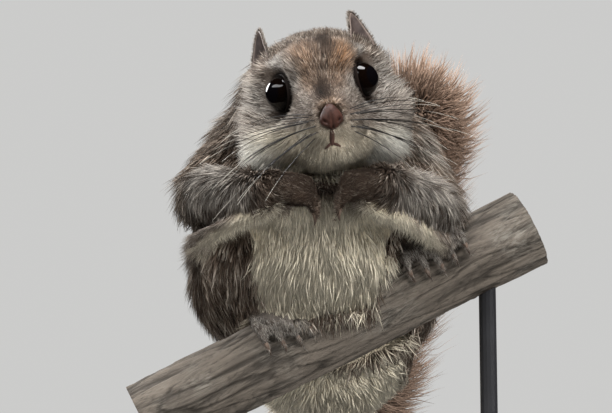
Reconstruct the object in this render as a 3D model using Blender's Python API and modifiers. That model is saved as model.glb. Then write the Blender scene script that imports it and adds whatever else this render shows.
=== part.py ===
"""A giant flying squirrel with white cheeks, life size, sitting hunched on a short cut branch.

The branch is the perch of a plain display stand. Lengths in the tables below are millimetres in the
animal's frame: its origin is a little under the perch's axis, below the chest, +X is the animal's left,
+Y is behind it and +Z is up. HEAD_PLACE puts the head's own frame, with its origin midway between the eyes, there.
"""

import math
import random

import bmesh
import bpy
from mathutils import Matrix, Vector
from mathutils.bvhtree import BVHTree

MM = 0.001
GAP = 0.35
PLAIN_FACES = 310
CUTTER_SHARE = 0.4
CUTTER_SPARE = 0.28
SIDES = {"left": 1, "right": -1}

PERCH_SLOPE = 27.0
PERCH_RADIUS = 19.0
PERCH_REACH = (-82.0, 98.0)
PERCH_LIFT = 17.0
ANIMAL_HEIGHT = 200.0
BASE_BEHIND = 36.0
BASE_HALF = (118.0, 108.0)
BASE_THICKNESS = 14.0
ROD_RADIUS = 4.0
ROD_AT = {"left": 78.0, "right": -60.0}

HEAD_AT = (0.0, -62.0, 119.5)
HEAD_DOWN = 12.0
HEAD_ROLL = -10.0
HEAD_YAW = 3.0
EYE_RADIUS = 8.4
EYE_AT = (17.2, -5.0, -0.6)
EYE_LOOKS = (0.78, -0.62, 0.10)

ANIMAL_PLACE = Matrix.Translation(Vector((0.0, -BASE_BEHIND, ANIMAL_HEIGHT)) * MM)
ROOM_PLACE = Matrix.Translation(Vector(HEAD_AT)) @ Matrix.Rotation(math.radians(HEAD_DOWN), 4, "X")
HEAD_PLACE = (
    ROOM_PLACE
    @ Matrix.Rotation(math.radians(HEAD_ROLL), 4, "Y")
    @ Matrix.Rotation(math.radians(HEAD_YAW), 4, "Z")
)

FUR_BROWN = (0.19, 0.155, 0.125, 1.0)
FUR_PALE = (0.62, 0.58, 0.47, 1.0)
FUR_DARK = (0.10, 0.075, 0.06, 1.0)
FUR_TAIL = (0.33, 0.25, 0.20, 1.0)
SKIN_BROWN = (0.13, 0.07, 0.05, 1.0)
EYE_BLACK = (0.01, 0.008, 0.008, 1.0)
BARK_GREY = (0.22, 0.21, 0.17, 1.0)
STAND_BLACK = (0.03, 0.03, 0.032, 1.0)


# Scene and mesh helpers


def clear_scene():
    for old in list(bpy.data.objects):
        bpy.data.objects.remove(old, do_unlink=True)


def new_collection(name):
    made = bpy.data.collections.new(name)
    bpy.context.scene.collection.children.link(made)
    return made


def material(name, colour, roughness=0.8, metallic=0.0):
    made = bpy.data.materials.new(name)
    made.use_nodes = True
    shader = made.node_tree.nodes["Principled BSDF"]
    shader.inputs["Base Color"].default_value = colour
    shader.inputs["Roughness"].default_value = roughness
    shader.inputs["Metallic"].default_value = metallic
    return made


def object_of(name, bm, collection):
    mesh = bpy.data.meshes.new(name)
    bm.to_mesh(mesh)
    bm.free()
    made = bpy.data.objects.new(name, mesh)
    collection.objects.link(made)
    return made


def settle(obj):
    """Applies the object's modifiers."""
    bpy.context.view_layer.update()
    graph = bpy.context.evaluated_depsgraph_get()
    mesh = bpy.data.meshes.new_from_object(obj.evaluated_get(graph))
    obj.modifiers.clear()
    obj.data = mesh
    return obj


def along(points, count):
    """count points and their places in the list, on a Catmull-Rom curve through the given points."""
    points = [Vector(p) for p in points]
    ends = [2 * points[0] - points[1], *points, 2 * points[-1] - points[-2]]
    found = []
    for step in range(count):
        place = step / (count - 1) * (len(points) - 1)
        first = min(int(place), len(points) - 2)
        t = place - first
        a, b, c, d = ends[first : first + 4]
        bent = 2 * b + (c - a) * t + (2 * a - 5 * b + 4 * c - d) * t**2 + (3 * b - a - 3 * c + d) * t**3
        found.append((bent / 2, place))
    return found


def between(values, place):
    first = min(int(place), len(values) - 2)
    return values[first] + (values[first + 1] - values[first]) * (place - first)


def ball(bm, centre, radii, turn=None, fineness=3):
    """An ellipsoid; turn is a rotation about its own centre."""
    placed = Matrix.Translation(Vector(centre))
    if turn is not None:
        placed = placed @ turn
    placed = placed @ Matrix.Diagonal((*radii, 1.0))
    bmesh.ops.create_icosphere(bm, subdivisions=fineness, radius=1.0, matrix=placed)


def limb(bm, points, radii, spacing=0.3):
    """A soft limb: balls set close along a smooth curve, each with the radius of its place."""
    length = sum((Vector(b) - Vector(a)).length for a, b in zip(points, points[1:]))
    count = max(3, int(length / (spacing * min(radii))) + 1)
    for centre, place in along(points, count):
        ball(bm, centre, [between(radii, place)] * 3, fineness=2)


def spine_tube(points, radii, sides, count, tip=False):
    """A closed tube through the points. Its radii follow theirs, and with tip it ends in a point."""
    bm = bmesh.new()
    rings = []
    places = along(points, count)
    side = None
    for index, (centre, place) in enumerate(places):
        near = places[max(index - 1, 0)][0], places[min(index + 1, count - 1)][0]
        tangent = (near[1] - near[0]).normalized()
        if side is None:
            side = tangent.orthogonal().normalized()
        side = (side - tangent * side.dot(tangent)).normalized()
        up = tangent.cross(side)
        if tip and index == count - 1:
            rings.append([bm.verts.new(centre)])
            continue
        radius = between(radii, place)
        turns = [2 * math.pi * k / sides for k in range(sides)]
        rings.append([bm.verts.new(centre + radius * (side * math.cos(t) + up * math.sin(t))) for t in turns])
    join_rings(bm, rings)
    return bm


def join_rings(bm, rings):
    for low, high in zip(rings, rings[1:]):
        for k in range(len(low)):
            nxt = (k + 1) % len(low)
            if len(high) == 1:
                bm.faces.new((low[k], low[nxt], high[0]))
            else:
                bm.faces.new((low[k], low[nxt], high[nxt], high[k]))
    bm.faces.new(rings[0][::-1])
    if len(rings[-1]) > 1:
        bm.faces.new(rings[-1])
    bmesh.ops.recalc_face_normals(bm, faces=bm.faces)


def volume_of(faces):
    corners = [[v.co for v in face.verts] for face in faces]
    return sum(a.dot(b.cross(c)) for a, b, c in corners) / 6


def surfaces_of(bm):
    """The faces of each closed surface, the surface that holds the most first."""
    bmesh.ops.triangulate(bm, faces=bm.faces)
    left = set(bm.faces)
    found = []
    while left:
        queue = [left.pop()]
        surface = set(queue)
        while queue:
            for edge in queue.pop().edges:
                for face in edge.link_faces if len(edge.link_faces) == 2 else ():
                    if face in left:
                        left.discard(face)
                        surface.add(face)
                        queue.append(face)
        found.append(surface)
    return sorted(found, key=volume_of, reverse=True)


def keep_largest(obj):
    """Drops all but the closed surface that holds the most."""
    bm = bmesh.new()
    bm.from_mesh(obj.data)
    for surface in surfaces_of(bm)[1:]:
        bmesh.ops.delete(bm, geom=list(surface), context="FACES")
    bm.to_mesh(obj.data)
    bm.free()
    return obj


def parted(obj, count):
    """The object's largest closed surfaces as bmeshes of their own, largest first."""
    whole = bmesh.new()
    whole.from_mesh(obj.data)
    surfaces = surfaces_of(whole)[:count]
    whole.faces.index_update()
    kept = [{face.index for face in surface} for surface in surfaces]
    pieces = []
    for numbers in kept:
        piece = whole.copy()
        others = [face for face in piece.faces if face.index not in numbers]
        bmesh.ops.delete(piece, geom=others, context="FACES")
        pieces.append(piece)
    whole.free()
    return pieces


def boolean(obj, other, operation, solver="MANIFOLD"):
    cut = obj.modifiers.new(operation.title(), "BOOLEAN")
    cut.operation = operation
    cut.solver = solver
    cut.object = other
    return cut


def grown(obj, collection):
    """A simpler cutter that stands off the object's surface all round by the gap."""
    bm = bmesh.new()
    bm.from_mesh(obj.data)
    cutter = object_of(obj.name + "_clearance", bm, collection)
    cutter.hide_render = True
    cutter.display_type = "WIRE"
    fine = len(obj.data.polygons) > PLAIN_FACES
    if fine:
        thin = cutter.modifiers.new("Decimate", "DECIMATE")
        thin.ratio = CUTTER_SHARE
        settle(cutter)
    by = GAP + (CUTTER_SPARE if fine else 0.0)
    bm = bmesh.new()
    bm.from_mesh(cutter.data)
    bm.normal_update()
    moved = [(v, v.co + v.normal * by * min(v.calc_shell_factor(), 2.5)) for v in bm.verts]
    for vert, spot in moved:
        vert.co = spot
    bm.to_mesh(cutter.data)
    bm.free()
    return cutter


def tree_of(obj):
    bm = bmesh.new()
    bm.from_mesh(obj.data)
    tree = BVHTree.FromBMesh(bm)
    bm.free()
    return tree


def box_of(obj):
    points = [v.co for v in obj.data.vertices]
    return [(min(p[k] for p in points), max(p[k] for p in points)) for k in range(3)]


def near(first, second):
    pairs = zip(box_of(first), box_of(second))
    return all(a[0] < b[1] + GAP and b[0] < a[1] + GAP for a, b in pairs)


def touch(first, second):
    return bool(tree_of(first).overlap(tree_of(second)))


def carve(obj, done, collection):
    """Cuts the object clear of the nodes done before it, by the gap, and adds it to them."""
    for other in done:
        if not near(obj, other):
            continue
        cutter = grown(other, collection)
        if touch(obj, cutter):
            boolean(obj, cutter, "DIFFERENCE")
            boolean(obj, other, "DIFFERENCE")
            settle(obj)
        bpy.data.objects.remove(cutter, do_unlink=True)
    done.append(keep_largest(obj))
    return obj


def join(obj, pieces, solver="MANIFOLD"):
    """Fuses pieces into the object and removes them."""
    for piece in pieces:
        boolean(obj, piece, "UNION", solver)
    settle(obj)
    for piece in pieces:
        bpy.data.objects.remove(piece, do_unlink=True)
    return keep_largest(obj)


def flesh(name, bm, collection, voxel, smoothing, triangles, place=None):
    """One soft closed form over all the balls in bm, eased together and thinned to a number of triangles."""
    if place is not None:
        bm.transform(place)
    obj = object_of(name, bm, collection)
    remesh = obj.modifiers.new("Remesh", "REMESH")
    remesh.mode = "VOXEL"
    remesh.voxel_size = voxel
    ease = obj.modifiers.new("Smooth", "SMOOTH")
    ease.factor = 0.5
    ease.iterations = smoothing
    settle(obj)
    now = sum(len(p.vertices) - 2 for p in obj.data.polygons)
    thin = obj.modifiers.new("Decimate", "DECIMATE")
    thin.ratio = min(1.0, triangles / now)
    settle(obj)
    return keep_largest(obj)


def face_point(tree, x, z):
    """The point of the face straight ahead at (x, z) of the head's frame, in that frame."""
    inverse = HEAD_PLACE.inverted()
    start = HEAD_PLACE @ Vector((x, -90.0, z))
    way = HEAD_PLACE.to_3x3() @ Vector((0.0, 1.0, 0.0))
    return inverse @ tree.ray_cast(start, way)[0]


# Head

CRANIUM = ((0.0, 14.0, 2.0), (33.0, 28.0, 25.5))
CHEEK = ((18.5, 1.0, -17.5), (19.5, 22.0, 18.0))
JOWL = ((15.0, 10.0, -16.0), (23.0, 24.0, 20.0))
MIDFACE = ((0.0, -9.0, -14.0), (23.0, 19.0, 16.0))
FOREHEAD = ((0.0, -4.0, 8.0), (22.0, 17.0, 15.0))
CHIN = ((0.0, -19.0, -28.0), (17.0, 14.5, 9.5))
LIP_PAD = ((7.0, -27.5, -19.5), (9.6, 11.0, 8.6))
MUZZLE_LINE = ((0.0, -6.0, -8.0), (0.0, -20.0, -11.5), (0.0, -31.0, -15.0))
MUZZLE_RADII = (20.0, 15.0, 9.4)
BROW = ((15.5, -3.0, 9.5), (9.0, 9.0, 6.0))
LID_RING = 8.0
LID_THICK = (2.6, 1.7)
LID_FORWARD = 3.3
NOSE_PAD = ((-0.5, -38.2, -15.2), (5.0, 4.2, 6.0))
HEAD_ROOM = ((-55.0, -70.0, -41.0), (55.0, 24.0, 60.0))
NOSTRIL = ((2.9, -41.6, -16.2), (1.5, 2.0, 1.0))
MOUTH_HALF = 10.5
MOUTH_DROP = -27.6


def mirrored(centre, side):
    return (centre[0] * side, centre[1], centre[2])


def look_turn(side):
    """Turns +Z to the way that the eye on this side looks."""
    way = Vector(mirrored(EYE_LOOKS, side))
    return way.to_track_quat("Z", "Y").to_matrix().to_4x4()


def lid_ring(bm, side):
    turn = look_turn(side)
    centre = Vector(mirrored(EYE_AT, side)) + turn.to_3x3() @ Vector((0.0, 0.0, LID_FORWARD))
    for step in range(28):
        t = 2 * math.pi * step / 28
        rim = centre + turn.to_3x3() @ Vector((LID_RING * math.cos(t), LID_RING * math.sin(t), 0.0))
        height = (rim.z - centre.z) / LID_RING
        thick = LID_THICK[1] + (LID_THICK[0] - LID_THICK[1]) * (height + 1) / 2
        ball(bm, rim, [thick] * 3, fineness=2)


def head_room(collection):
    """A block that holds the head: its back is the plane between head and neck, its floor is under the chin."""
    bm = bmesh.new()
    low, high = (Vector(corner) for corner in HEAD_ROOM)
    placed = Matrix.Translation((low + high) / 2) @ Matrix.Diagonal((*(high - low), 1.0))
    bmesh.ops.create_cube(bm, size=1.0, matrix=ROOM_PLACE @ placed)
    room = object_of("head_room", bm, collection)
    room.hide_render = True
    room.display_type = "WIRE"
    return room


def build_head(parts):
    bm = bmesh.new()
    ball(bm, *CRANIUM)
    ball(bm, *FOREHEAD)
    ball(bm, *MIDFACE)
    ball(bm, *CHIN)
    limb(bm, MUZZLE_LINE, MUZZLE_RADII, spacing=0.2)
    for side in SIDES.values():
        for centre, radii in (CHEEK, JOWL, LIP_PAD, BROW):
            ball(bm, mirrored(centre, side), radii)
        lid_ring(bm, side)
    return flesh("head", bm, parts, 1.15, 8, 1600, HEAD_PLACE)


def build_nose(parts):
    bm = bmesh.new()
    ball(bm, *NOSE_PAD, fineness=2)
    for vert in bm.verts:
        drop = max(0.0, NOSE_PAD[0][2] - vert.co.z) / NOSE_PAD[1][2]
        vert.co.x *= 1.0 - 0.35 * drop
    bm.transform(HEAD_PLACE)
    nose = object_of("nose", bm, parts)
    pits = bmesh.new()
    for side in SIDES.values():
        slant = Matrix.Rotation(math.radians(-35 * side), 4, "Y")
        ball(pits, mirrored(NOSTRIL[0], side), NOSTRIL[1], slant, fineness=1)
    pits.transform(HEAD_PLACE)
    pits = object_of("nostrils", pits, parts)
    boolean(nose, pits, "DIFFERENCE")
    settle(nose)
    bpy.data.objects.remove(pits, do_unlink=True)
    return keep_largest(nose)


def mouth_cutter(parts, head):
    """The line between the lips, and the groove from it up to the nose."""
    tree = tree_of(head)
    line = []
    for step in range(-4, 5):
        x = MOUTH_HALF * step / 4
        dip = 1.6 * math.sin(math.pi * abs(step) / 4)
        line.append(face_point(tree, x, MOUTH_DROP - dip + 1.2 * abs(step) / 4))
    lips = spine_tube(line, [0.5, 1.0, 1.0, 1.0, 1.0, 1.0, 1.0, 1.0, 0.5], 6, 17)
    groove = [face_point(tree, 0.0, z) for z in (-20.0, -23.0, MOUTH_DROP)]
    above = spine_tube(groove, [0.7, 0.7, 0.8], 6, 5)
    made = []
    for name, bm in (("lip_line", lips), ("lip_groove", above)):
        bm.transform(HEAD_PLACE)
        made.append(object_of(name, bm, parts))
    return made


def build_eye(parts, word, side):
    bm = bmesh.new()
    bmesh.ops.create_uvsphere(
        bm,
        u_segments=14,
        v_segments=8,
        radius=EYE_RADIUS,
        matrix=Matrix.Translation(Vector(mirrored(EYE_AT, side))) @ look_turn(side),
    )
    bm.transform(HEAD_PLACE)
    return object_of("eye_" + word, bm, parts)


EAR_ROOT = (23.5, 9.0, 11.0)
EAR_TIP = (21.8, 14.0, 32.0)
EAR_HALF = 8.2
EAR_CUP = 4.6
EAR_THICK = 1.5
EAR_FACES = (0.72, -0.68, 0.12)


def build_ear(parts, word, side):
    """A pointed, cupped leaf of skin, as a grid given its thickness."""
    root, tip = (Vector(mirrored(p, side)) for p in (EAR_ROOT, EAR_TIP))
    up = tip - root
    front = Vector(mirrored(EAR_FACES, side))
    front = (front - up.normalized() * front.dot(up.normalized())).normalized()
    across = up.normalized().cross(front)
    rows, columns = 8, 7
    bm = bmesh.new()
    grid = []
    for row in range(rows):
        v = row / (rows - 1)
        half = EAR_HALF * (1 - v**2.3) ** 0.7 * (0.82 + 0.18 * math.sin(math.pi * min(1.0, v * 1.6)))
        half = max(half, 0.35)
        line = []
        for column in range(columns):
            u = 2 * column / (columns - 1) - 1
            hollow = EAR_CUP * (1 - u * u) * (1 - 0.55 * v) * (half / EAR_HALF) ** 0.5
            lean = 1.2 * v * v * EAR_CUP * 0.4
            line.append(bm.verts.new(root + up * v + across * (half * u) - front * (hollow + lean)))
        grid.append(line)
    for low, high in zip(grid, grid[1:]):
        for k in range(columns - 1):
            bm.faces.new((low[k], low[k + 1], high[k + 1], high[k]))
    bmesh.ops.triangulate(bm, faces=bm.faces)
    bm.transform(HEAD_PLACE)
    ear = object_of("ear_" + word, bm, parts)
    shell = ear.modifiers.new("Solidify", "SOLIDIFY")
    shell.thickness = EAR_THICK
    shell.offset = 0.0
    settle(ear)
    bm = bmesh.new()
    bm.from_mesh(ear.data)
    bmesh.ops.recalc_face_normals(bm, faces=bm.faces)
    bm.to_mesh(ear.data)
    bm.free()
    return ear


# Trunk

NECK_LINE = ((-2.0, -38.0, 120.0), (-1.0, -14.0, 110.0), (0.0, 8.0, 100.0))
NECK_RADII = (34.0, 39.0, 43.0)
BACK_LINE = (
    (0.0, 8.0, 98.0),
    (1.0, 32.0, 88.0),
    (1.0, 54.0, 68.0),
    (2.0, 64.0, 44.0),
    (3.0, 72.0, 26.0),
    (5.0, 94.0, 12.0),
)
BACK_RADII = (46.0, 53.0, 57.0, 56.0, 48.0, 26.0)
NECK_FOLD = ((34.0, 182.0, -30.0), (-23.0, 85.5, -60.0), (-42.0, 84.5, -88.0))
SHEET_HALF = 80.0
ARM_BLOCK = ((51.0, 0.0, 90.0), (23.0, 23.0, 36.0), -37.0)
THIGH_BLOCK = ((50.0, 32.0, 48.0), (20.0, 60.0, 32.0), -8.0)
BELLY = (
    ((0.0, -16.0, 78.0), (42.0, 38.0, 36.0)),
    ((2.0, -4.0, 50.0), (46.0, 40.0, 34.0)),
    ((3.0, 24.0, 34.0), (49.0, 46.0, 36.0)),
)


# Arms and hands

SHOULDER = (32.0, 13.0, 107.0)
ELBOW = (53.5, -9.0, 78.0)
WRIST = (25.6, -69.0, 72.4)
KNUCKLES = (12.9, -77.0, 69.6)
HANDS_SHIFT = 2.5
HAND_LIFT = 1.0
ELBOW_LIFT = -4.0
UPPER_ARM_RADII = (24.0, 16.5)
FOREARM_RADII = (14.5, 12.5, 10.5)
FINGERS = 4
FINGER_LENGTH = 14.0
FINGER_RADII = (3.1, 2.7, 2.1)
CLAW_RADII = (1.25, 0.8, 0.3)


def sided(point, side, lift=0.0, shift=0.0):
    return Vector((point[0] * side + shift, point[1], point[2] + lift * side))


def elbow_of(side):
    return sided(ELBOW, side, ELBOW_LIFT)


def wrist_of(side):
    return sided(WRIST, side, HAND_LIFT, HANDS_SHIFT)


def build_forearm(parts, word, side):
    bm = bmesh.new()
    elbow, wrist = elbow_of(side), wrist_of(side)
    middle = (elbow + wrist) / 2 + Vector((3.0 * side, -4.0, -2.0))
    limb(bm, [elbow, middle, wrist], FOREARM_RADII)
    return flesh("forearm_" + word, bm, parts, 1.8, 5, 160)


def claw(name, parts, root, ahead, down, length):
    """A hooked, tapered claw that leaves root ahead and bends down."""
    middle = root + ahead * length * 0.55 + down * length * 0.12
    end = root + ahead * length * 0.85 + down * length * 0.55
    start = root - ahead * length * 0.35
    bm = spine_tube([start, middle, end], CLAW_RADII, 4, 5, tip=True)
    return object_of(name, bm, parts)


def build_hand(parts, word, side):
    """The palm, with four fingers that curl down to the middle, and their claws."""
    wrist, knuckles = wrist_of(side), sided(KNUCKLES, side, HAND_LIFT, HANDS_SHIFT)
    ahead = (knuckles - wrist).normalized()
    down = Vector((0.0, 0.25, -1.0)).normalized()
    across = ahead.cross(down).normalized() * side
    bm = bmesh.new()
    limb(bm, [wrist, knuckles], (8.6, 8.0))
    claws = []
    for index in range(FINGERS):
        spread = (index - 1.5) / 1.5
        root = knuckles + down * (spread * 5.0 + 0.5) - across * 1.0 * abs(spread)
        reach = FINGER_LENGTH * (1 - 0.16 * abs(spread - 0.2))
        bend = root + ahead * reach * 0.55 + across * 1.6
        tip = root + ahead * reach * 0.72 + down * reach * 0.42 + across * 0.4
        limb(bm, [root, bend, tip], FINGER_RADII, spacing=0.35)
        way = (tip - bend).normalized()
        claws.append(claw(f"claw_{index}", parts, tip, way, (down - ahead).normalized(), 6.0))
    hand = flesh("hand_" + word, bm, parts, 0.9, 3, 320)
    return join(hand, claws)


# Legs and feet

FOOT_AT = {"left": 57.0, "right": -13.0}
FOOT_SPLAY = {"left": -8.0, "right": 14.0}
TOES = 5
TOE_RADII = (3.9, 3.5, 3.0, 2.3)
SOLE_RADII = (6.5, 8.0, 7.4)
HIP = (28.0, 58.0, 44.0)
KNEE = (42.0, -2.0, 48.0)
HAUNCH_RADII = (33.0, 29.0, 18.0)
SHANK_RADII = (14.0, 11.0, 9.0)


def perch_axis(x):
    """The height of the perch's axis at this x."""
    return PERCH_LIFT + math.tan(math.radians(PERCH_SLOPE)) * x


def on_perch(x, turn, out):
    """A point out from the perch's axis, turn degrees round from the top to the front."""
    way = math.radians(turn)
    slope = math.radians(PERCH_SLOPE)
    up = Vector((-math.sin(slope), 0.0, math.cos(slope)))
    centre = Vector((x, 0.0, perch_axis(x)))
    return centre + (PERCH_RADIUS + out) * (up * math.cos(way) - Vector((0.0, 1.0, 0.0)) * math.sin(way))


def ankle_of(word):
    return on_perch(FOOT_AT[word], -58.0, 9.0)


def build_foot(parts, word, side):
    """The sole lies over the perch from behind, and five toes grip its front."""
    x = FOOT_AT[word]
    splay = math.radians(FOOT_SPLAY[word])
    bm = bmesh.new()
    limb(bm, [ankle_of(word), on_perch(x, -28.0, 7.0), on_perch(x, 14.0, 6.0)], SOLE_RADII)
    claws = []
    for index in range(TOES):
        spread = (index - 2) * 5.6
        shorter = 9.0 * abs(index - 2) ** 1.5 / 2.8
        line = []
        for turn, out, share in ((8.0, 4.0, 0.7), (38.0, 3.6, 0.95), (66.0, 3.8, 1.1), (92.0, 1.8, 1.15)):
            bend = turn * (1.0 - shorter * 0.012)
            shift = spread * share + math.sin(splay) * turn * 0.12
            line.append(on_perch(x + shift, bend, out))
        limb(bm, line, TOE_RADII, spacing=0.35)
        way = (line[3] - line[2]).normalized()
        inward = (on_perch(x + spread, 100.0, -8.0) - line[3]).normalized()
        claws.append(claw(f"claw_{index}", parts, line[3], way, inward, 6.5))
    foot = flesh("foot_" + word, bm, parts, 1.0, 3, 350)
    return join(foot, claws)


def knee_of(word, side):
    """The knee is a little higher over the foot that is higher on the perch."""
    return sided(KNEE, side) + Vector((0.0, 0.0, 0.35 * perch_axis(FOOT_AT[word])))


def build_shank(parts, word, side):
    knee = knee_of(word, side)
    ankle = ankle_of(word)
    bm = bmesh.new()
    bent = (knee + ankle) / 2 + Vector((4.0 * side, 6.0, 4.0))
    limb(bm, [knee, bent, ankle], SHANK_RADII)
    return flesh("shank_" + word, bm, parts, 2.0, 5, 110)


# The body's main mass, made whole and parted


def neck_sheet(collection):
    """A thin folded sheet between neck and torso, from behind the nape down and forward to the throat."""
    bm = bmesh.new()
    thick = GAP / 2
    rings = []
    for y, z, lean in NECK_FOLD:
        away = Vector((0.0, math.cos(math.radians(lean)), math.sin(math.radians(lean)))) * thick
        spot = Vector((0.0, y, z))
        side = Vector((SHEET_HALF, 0.0, 0.0))
        corners = (spot - side - away, spot + side - away, spot + side + away, spot - side + away)
        rings.append([bm.verts.new(corner) for corner in corners])
    join_rings(bm, rings)
    return object_of("neck_sheet", bm, collection)


def limb_block(collection, centre, half, lean, side, extra=0.0):
    """A block round the top of a limb, leaning forward or back. The limb is what it holds of the body."""
    bm = bmesh.new()
    sizes = [2 * (reach + extra) for reach in half]
    placed = Matrix.Translation(sided(centre, side)) @ Matrix.Rotation(math.radians(lean), 4, "X")
    bmesh.ops.create_cube(bm, size=1.0, matrix=placed @ Matrix.Diagonal((*sizes, 1.0)))
    return object_of("limb_block", bm, collection)


def take_limb(name, trunk, parts, cutters, block, side):
    """Parts the piece of the body inside a block from the rest."""
    limb_node = bpy.data.objects.new(name, trunk.data.copy())
    parts.objects.link(limb_node)
    inner = limb_block(cutters, *block, side)
    outer = limb_block(cutters, *block, side, extra=GAP)
    boolean(limb_node, inner, "INTERSECT")
    boolean(trunk, outer, "DIFFERENCE")
    settle(limb_node)
    settle(trunk)
    for cutter in (inner, outer):
        bpy.data.objects.remove(cutter, do_unlink=True)
    keep_largest(trunk)
    return keep_largest(limb_node)


def build_trunk(parts, cutters, room):
    """Upper arms, thighs, neck and torso: one soft form over all their balls, parted by blocks and a sheet."""
    bm = bmesh.new()
    limb(bm, NECK_LINE, NECK_RADII)
    limb(bm, BACK_LINE, BACK_RADII)
    for centre, radii in BELLY:
        ball(bm, centre, radii)
    for word, side in SIDES.items():
        knee, hip = knee_of(word, side), sided(HIP, side)
        limb(bm, [sided(SHOULDER, side), elbow_of(side)], UPPER_ARM_RADII)
        limb(bm, [hip, (hip + knee) / 2 + Vector((2.0 * side, 0.0, 0.0)), knee], HAUNCH_RADII)
    trunk = flesh("torso", bm, parts, 3.0, 7, 700)
    boolean(trunk, room, "DIFFERENCE")
    settle(trunk)
    pieces = []
    for name, block in (("upper_arm_", ARM_BLOCK), ("thigh_", THIGH_BLOCK)):
        for word, side in SIDES.items():
            pieces.append(take_limb(name + word, trunk, parts, cutters, block, side))
    sheet = neck_sheet(cutters)
    boolean(trunk, sheet, "DIFFERENCE")
    settle(trunk)
    bpy.data.objects.remove(sheet, do_unlink=True)
    torso_mesh, neck_mesh = parted(trunk, 2)
    bpy.data.objects.remove(trunk, do_unlink=True)
    return [*pieces, object_of("neck", neck_mesh, parts), object_of("torso", torso_mesh, parts)]


# Gliding membrane, folded along each flank

EDGE_LINE = (
    (20.0, -72.0, 63.0),
    (34.0, -62.0, 60.0),
    (48.0, -42.0, 57.5),
    (56.0, -20.0, 57.0),
    (57.0, 2.0, 54.0),
    (53.0, 18.0, 43.0),
    (47.0, 28.0, 30.0),
)
EDGE_RADII = (3.4, 4.4, 5.2, 5.6, 5.4, 5.0, 4.2)
ROOT_LINE = (
    (18.0, -48.0, 66.0),
    (26.0, -38.0, 64.0),
    (34.0, -24.0, 66.0),
    (39.0, -8.0, 68.0),
    (42.0, 14.0, 62.0),
    (41.0, 30.0, 50.0),
    (38.0, 38.0, 36.0),
)


def build_patagium(parts, word, side):
    """A fold of furred skin from the wrist to the ankle, thickest along its free edge."""
    bm = bmesh.new()
    rows, columns = 34, 7
    edge = along(EDGE_LINE, rows)
    root = along(ROOT_LINE, rows)
    for (outer, place), (inner, _) in zip(edge, root):
        wave = 1.8 * math.sin(place * 3.1 + 0.6 * side)
        for column in range(columns):
            t = column / (columns - 1)
            spot = outer.lerp(inner, t) + Vector((0.0, wave * (1 - t), 2.0 * math.sin(math.pi * t)))
            radius = between(EDGE_RADII, place) * (1.0 - 0.25 * math.sin(math.pi * min(1.0, 2 * t)))
            ball(bm, (spot.x * side, spot.y, spot.z), [radius] * 3, fineness=1)
    return flesh("patagium_" + word, bm, parts, 1.7, 6, 280)


# Tail

TAIL_LINE = (
    (5.0, 94.0, 12.0),
    (9.0, 126.0, 0.0),
    (20.0, 158.0, 16.0),
    (32.0, 170.0, 62.0),
    (42.0, 158.0, 108.0),
    (47.0, 126.0, 136.0),
    (49.0, 90.0, 142.0),
    (49.0, 60.0, 130.0),
)
TAIL_CORE = (20.0, 18.0, 17.0, 17.0, 17.0, 16.0, 12.0, 4.0)
TAIL_OUTSIDE = (27.0, 32.0, 36.0, 38.0, 39.0, 39.0, 33.0, 14.0)
LOCK_RINGS = 11
LOCKS_ROUND = 7
LOCK_THICK = 3.6
LOCK_ROOT_DEPTH = 4.0
LOCK_STRETCH = 1.75
LOCK_SHAPE = ((0.8, 44.0, 0.3), (1.0, 33.0, 0.36), (0.8, 22.0, 0.34), (0.0, 0.0, 0.0))


def lock(name, collection, root, ahead, out, width, length):
    """A flat tapered lock that leaves its root outwards and bends back along the tail."""
    side = ahead.cross(out).normalized()
    spot = root.copy()
    bm = bmesh.new()
    rings = []
    for share, lift, step in LOCK_SHAPE:
        way = ahead * math.cos(math.radians(lift)) + out * math.sin(math.radians(lift))
        face = side.cross(way).normalized()
        if share == 0.0:
            rings.append([bm.verts.new(spot)])
            break
        flat, ridge = side * width * share / 2, face * LOCK_THICK * share
        rings.append([bm.verts.new(spot + corner) for corner in (flat, ridge, -flat)])
        spot = spot + way * length * step
    join_rings(bm, rings)
    return object_of(name, bm, collection)


def lock_ring(rng, brush, line, ring):
    """The locks round one station of the tail, half a step round from those of the ring before."""
    index = int((ring + 0.3) / LOCK_RINGS * (len(line) - 1))
    centre, place = line[index]
    ahead = (line[index + 1][0] - line[max(index - 1, 0)][0]).normalized()
    side = Vector((1.0, 0.0, 0.0))
    side = (side - ahead * side.dot(ahead)).normalized()
    up = ahead.cross(side)
    core, reach = between(TAIL_CORE, place), between(TAIL_OUTSIDE, place)
    for k in range(LOCKS_ROUND):
        turn = 2 * math.pi * (k + 0.5 * (ring % 2)) / LOCKS_ROUND + rng.uniform(-0.12, 0.12)
        out = side * math.cos(turn) + up * math.sin(turn)
        root = centre + out * (core - LOCK_ROOT_DEPTH)
        length = (reach - core + LOCK_ROOT_DEPTH) * LOCK_STRETCH * rng.uniform(0.86, 1.06)
        width = 2 * math.pi * core / LOCKS_ROUND * rng.uniform(1.35, 1.7)
        lock(f"lock_{ring}_{k}", brush, root, ahead, out, width, length)


def build_tail(parts):
    """The whole brush: a bent core with locks in staggered rings, fused."""
    rng = random.Random(7)
    tail = object_of("tail", spine_tube(TAIL_LINE, TAIL_CORE, 9, 21), parts)
    brush = new_collection("tail_locks")
    line = along(TAIL_LINE, 71)
    for ring in range(LOCK_RINGS):
        lock_ring(rng, brush, line, ring)
    union = tail.modifiers.new("Union", "BOOLEAN")
    union.operation = "UNION"
    union.operand_type = "COLLECTION"
    union.collection = brush
    union.solver = "MANIFOLD"
    settle(tail)
    for old in list(brush.objects):
        bpy.data.objects.remove(old, do_unlink=True)
    bpy.data.collections.remove(brush)
    return tail


TAIL_CUTS = (2.35, 4.55)
TAIL_LENGTHS = ("tail_base", "tail_middle", "tail_tip")


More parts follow.
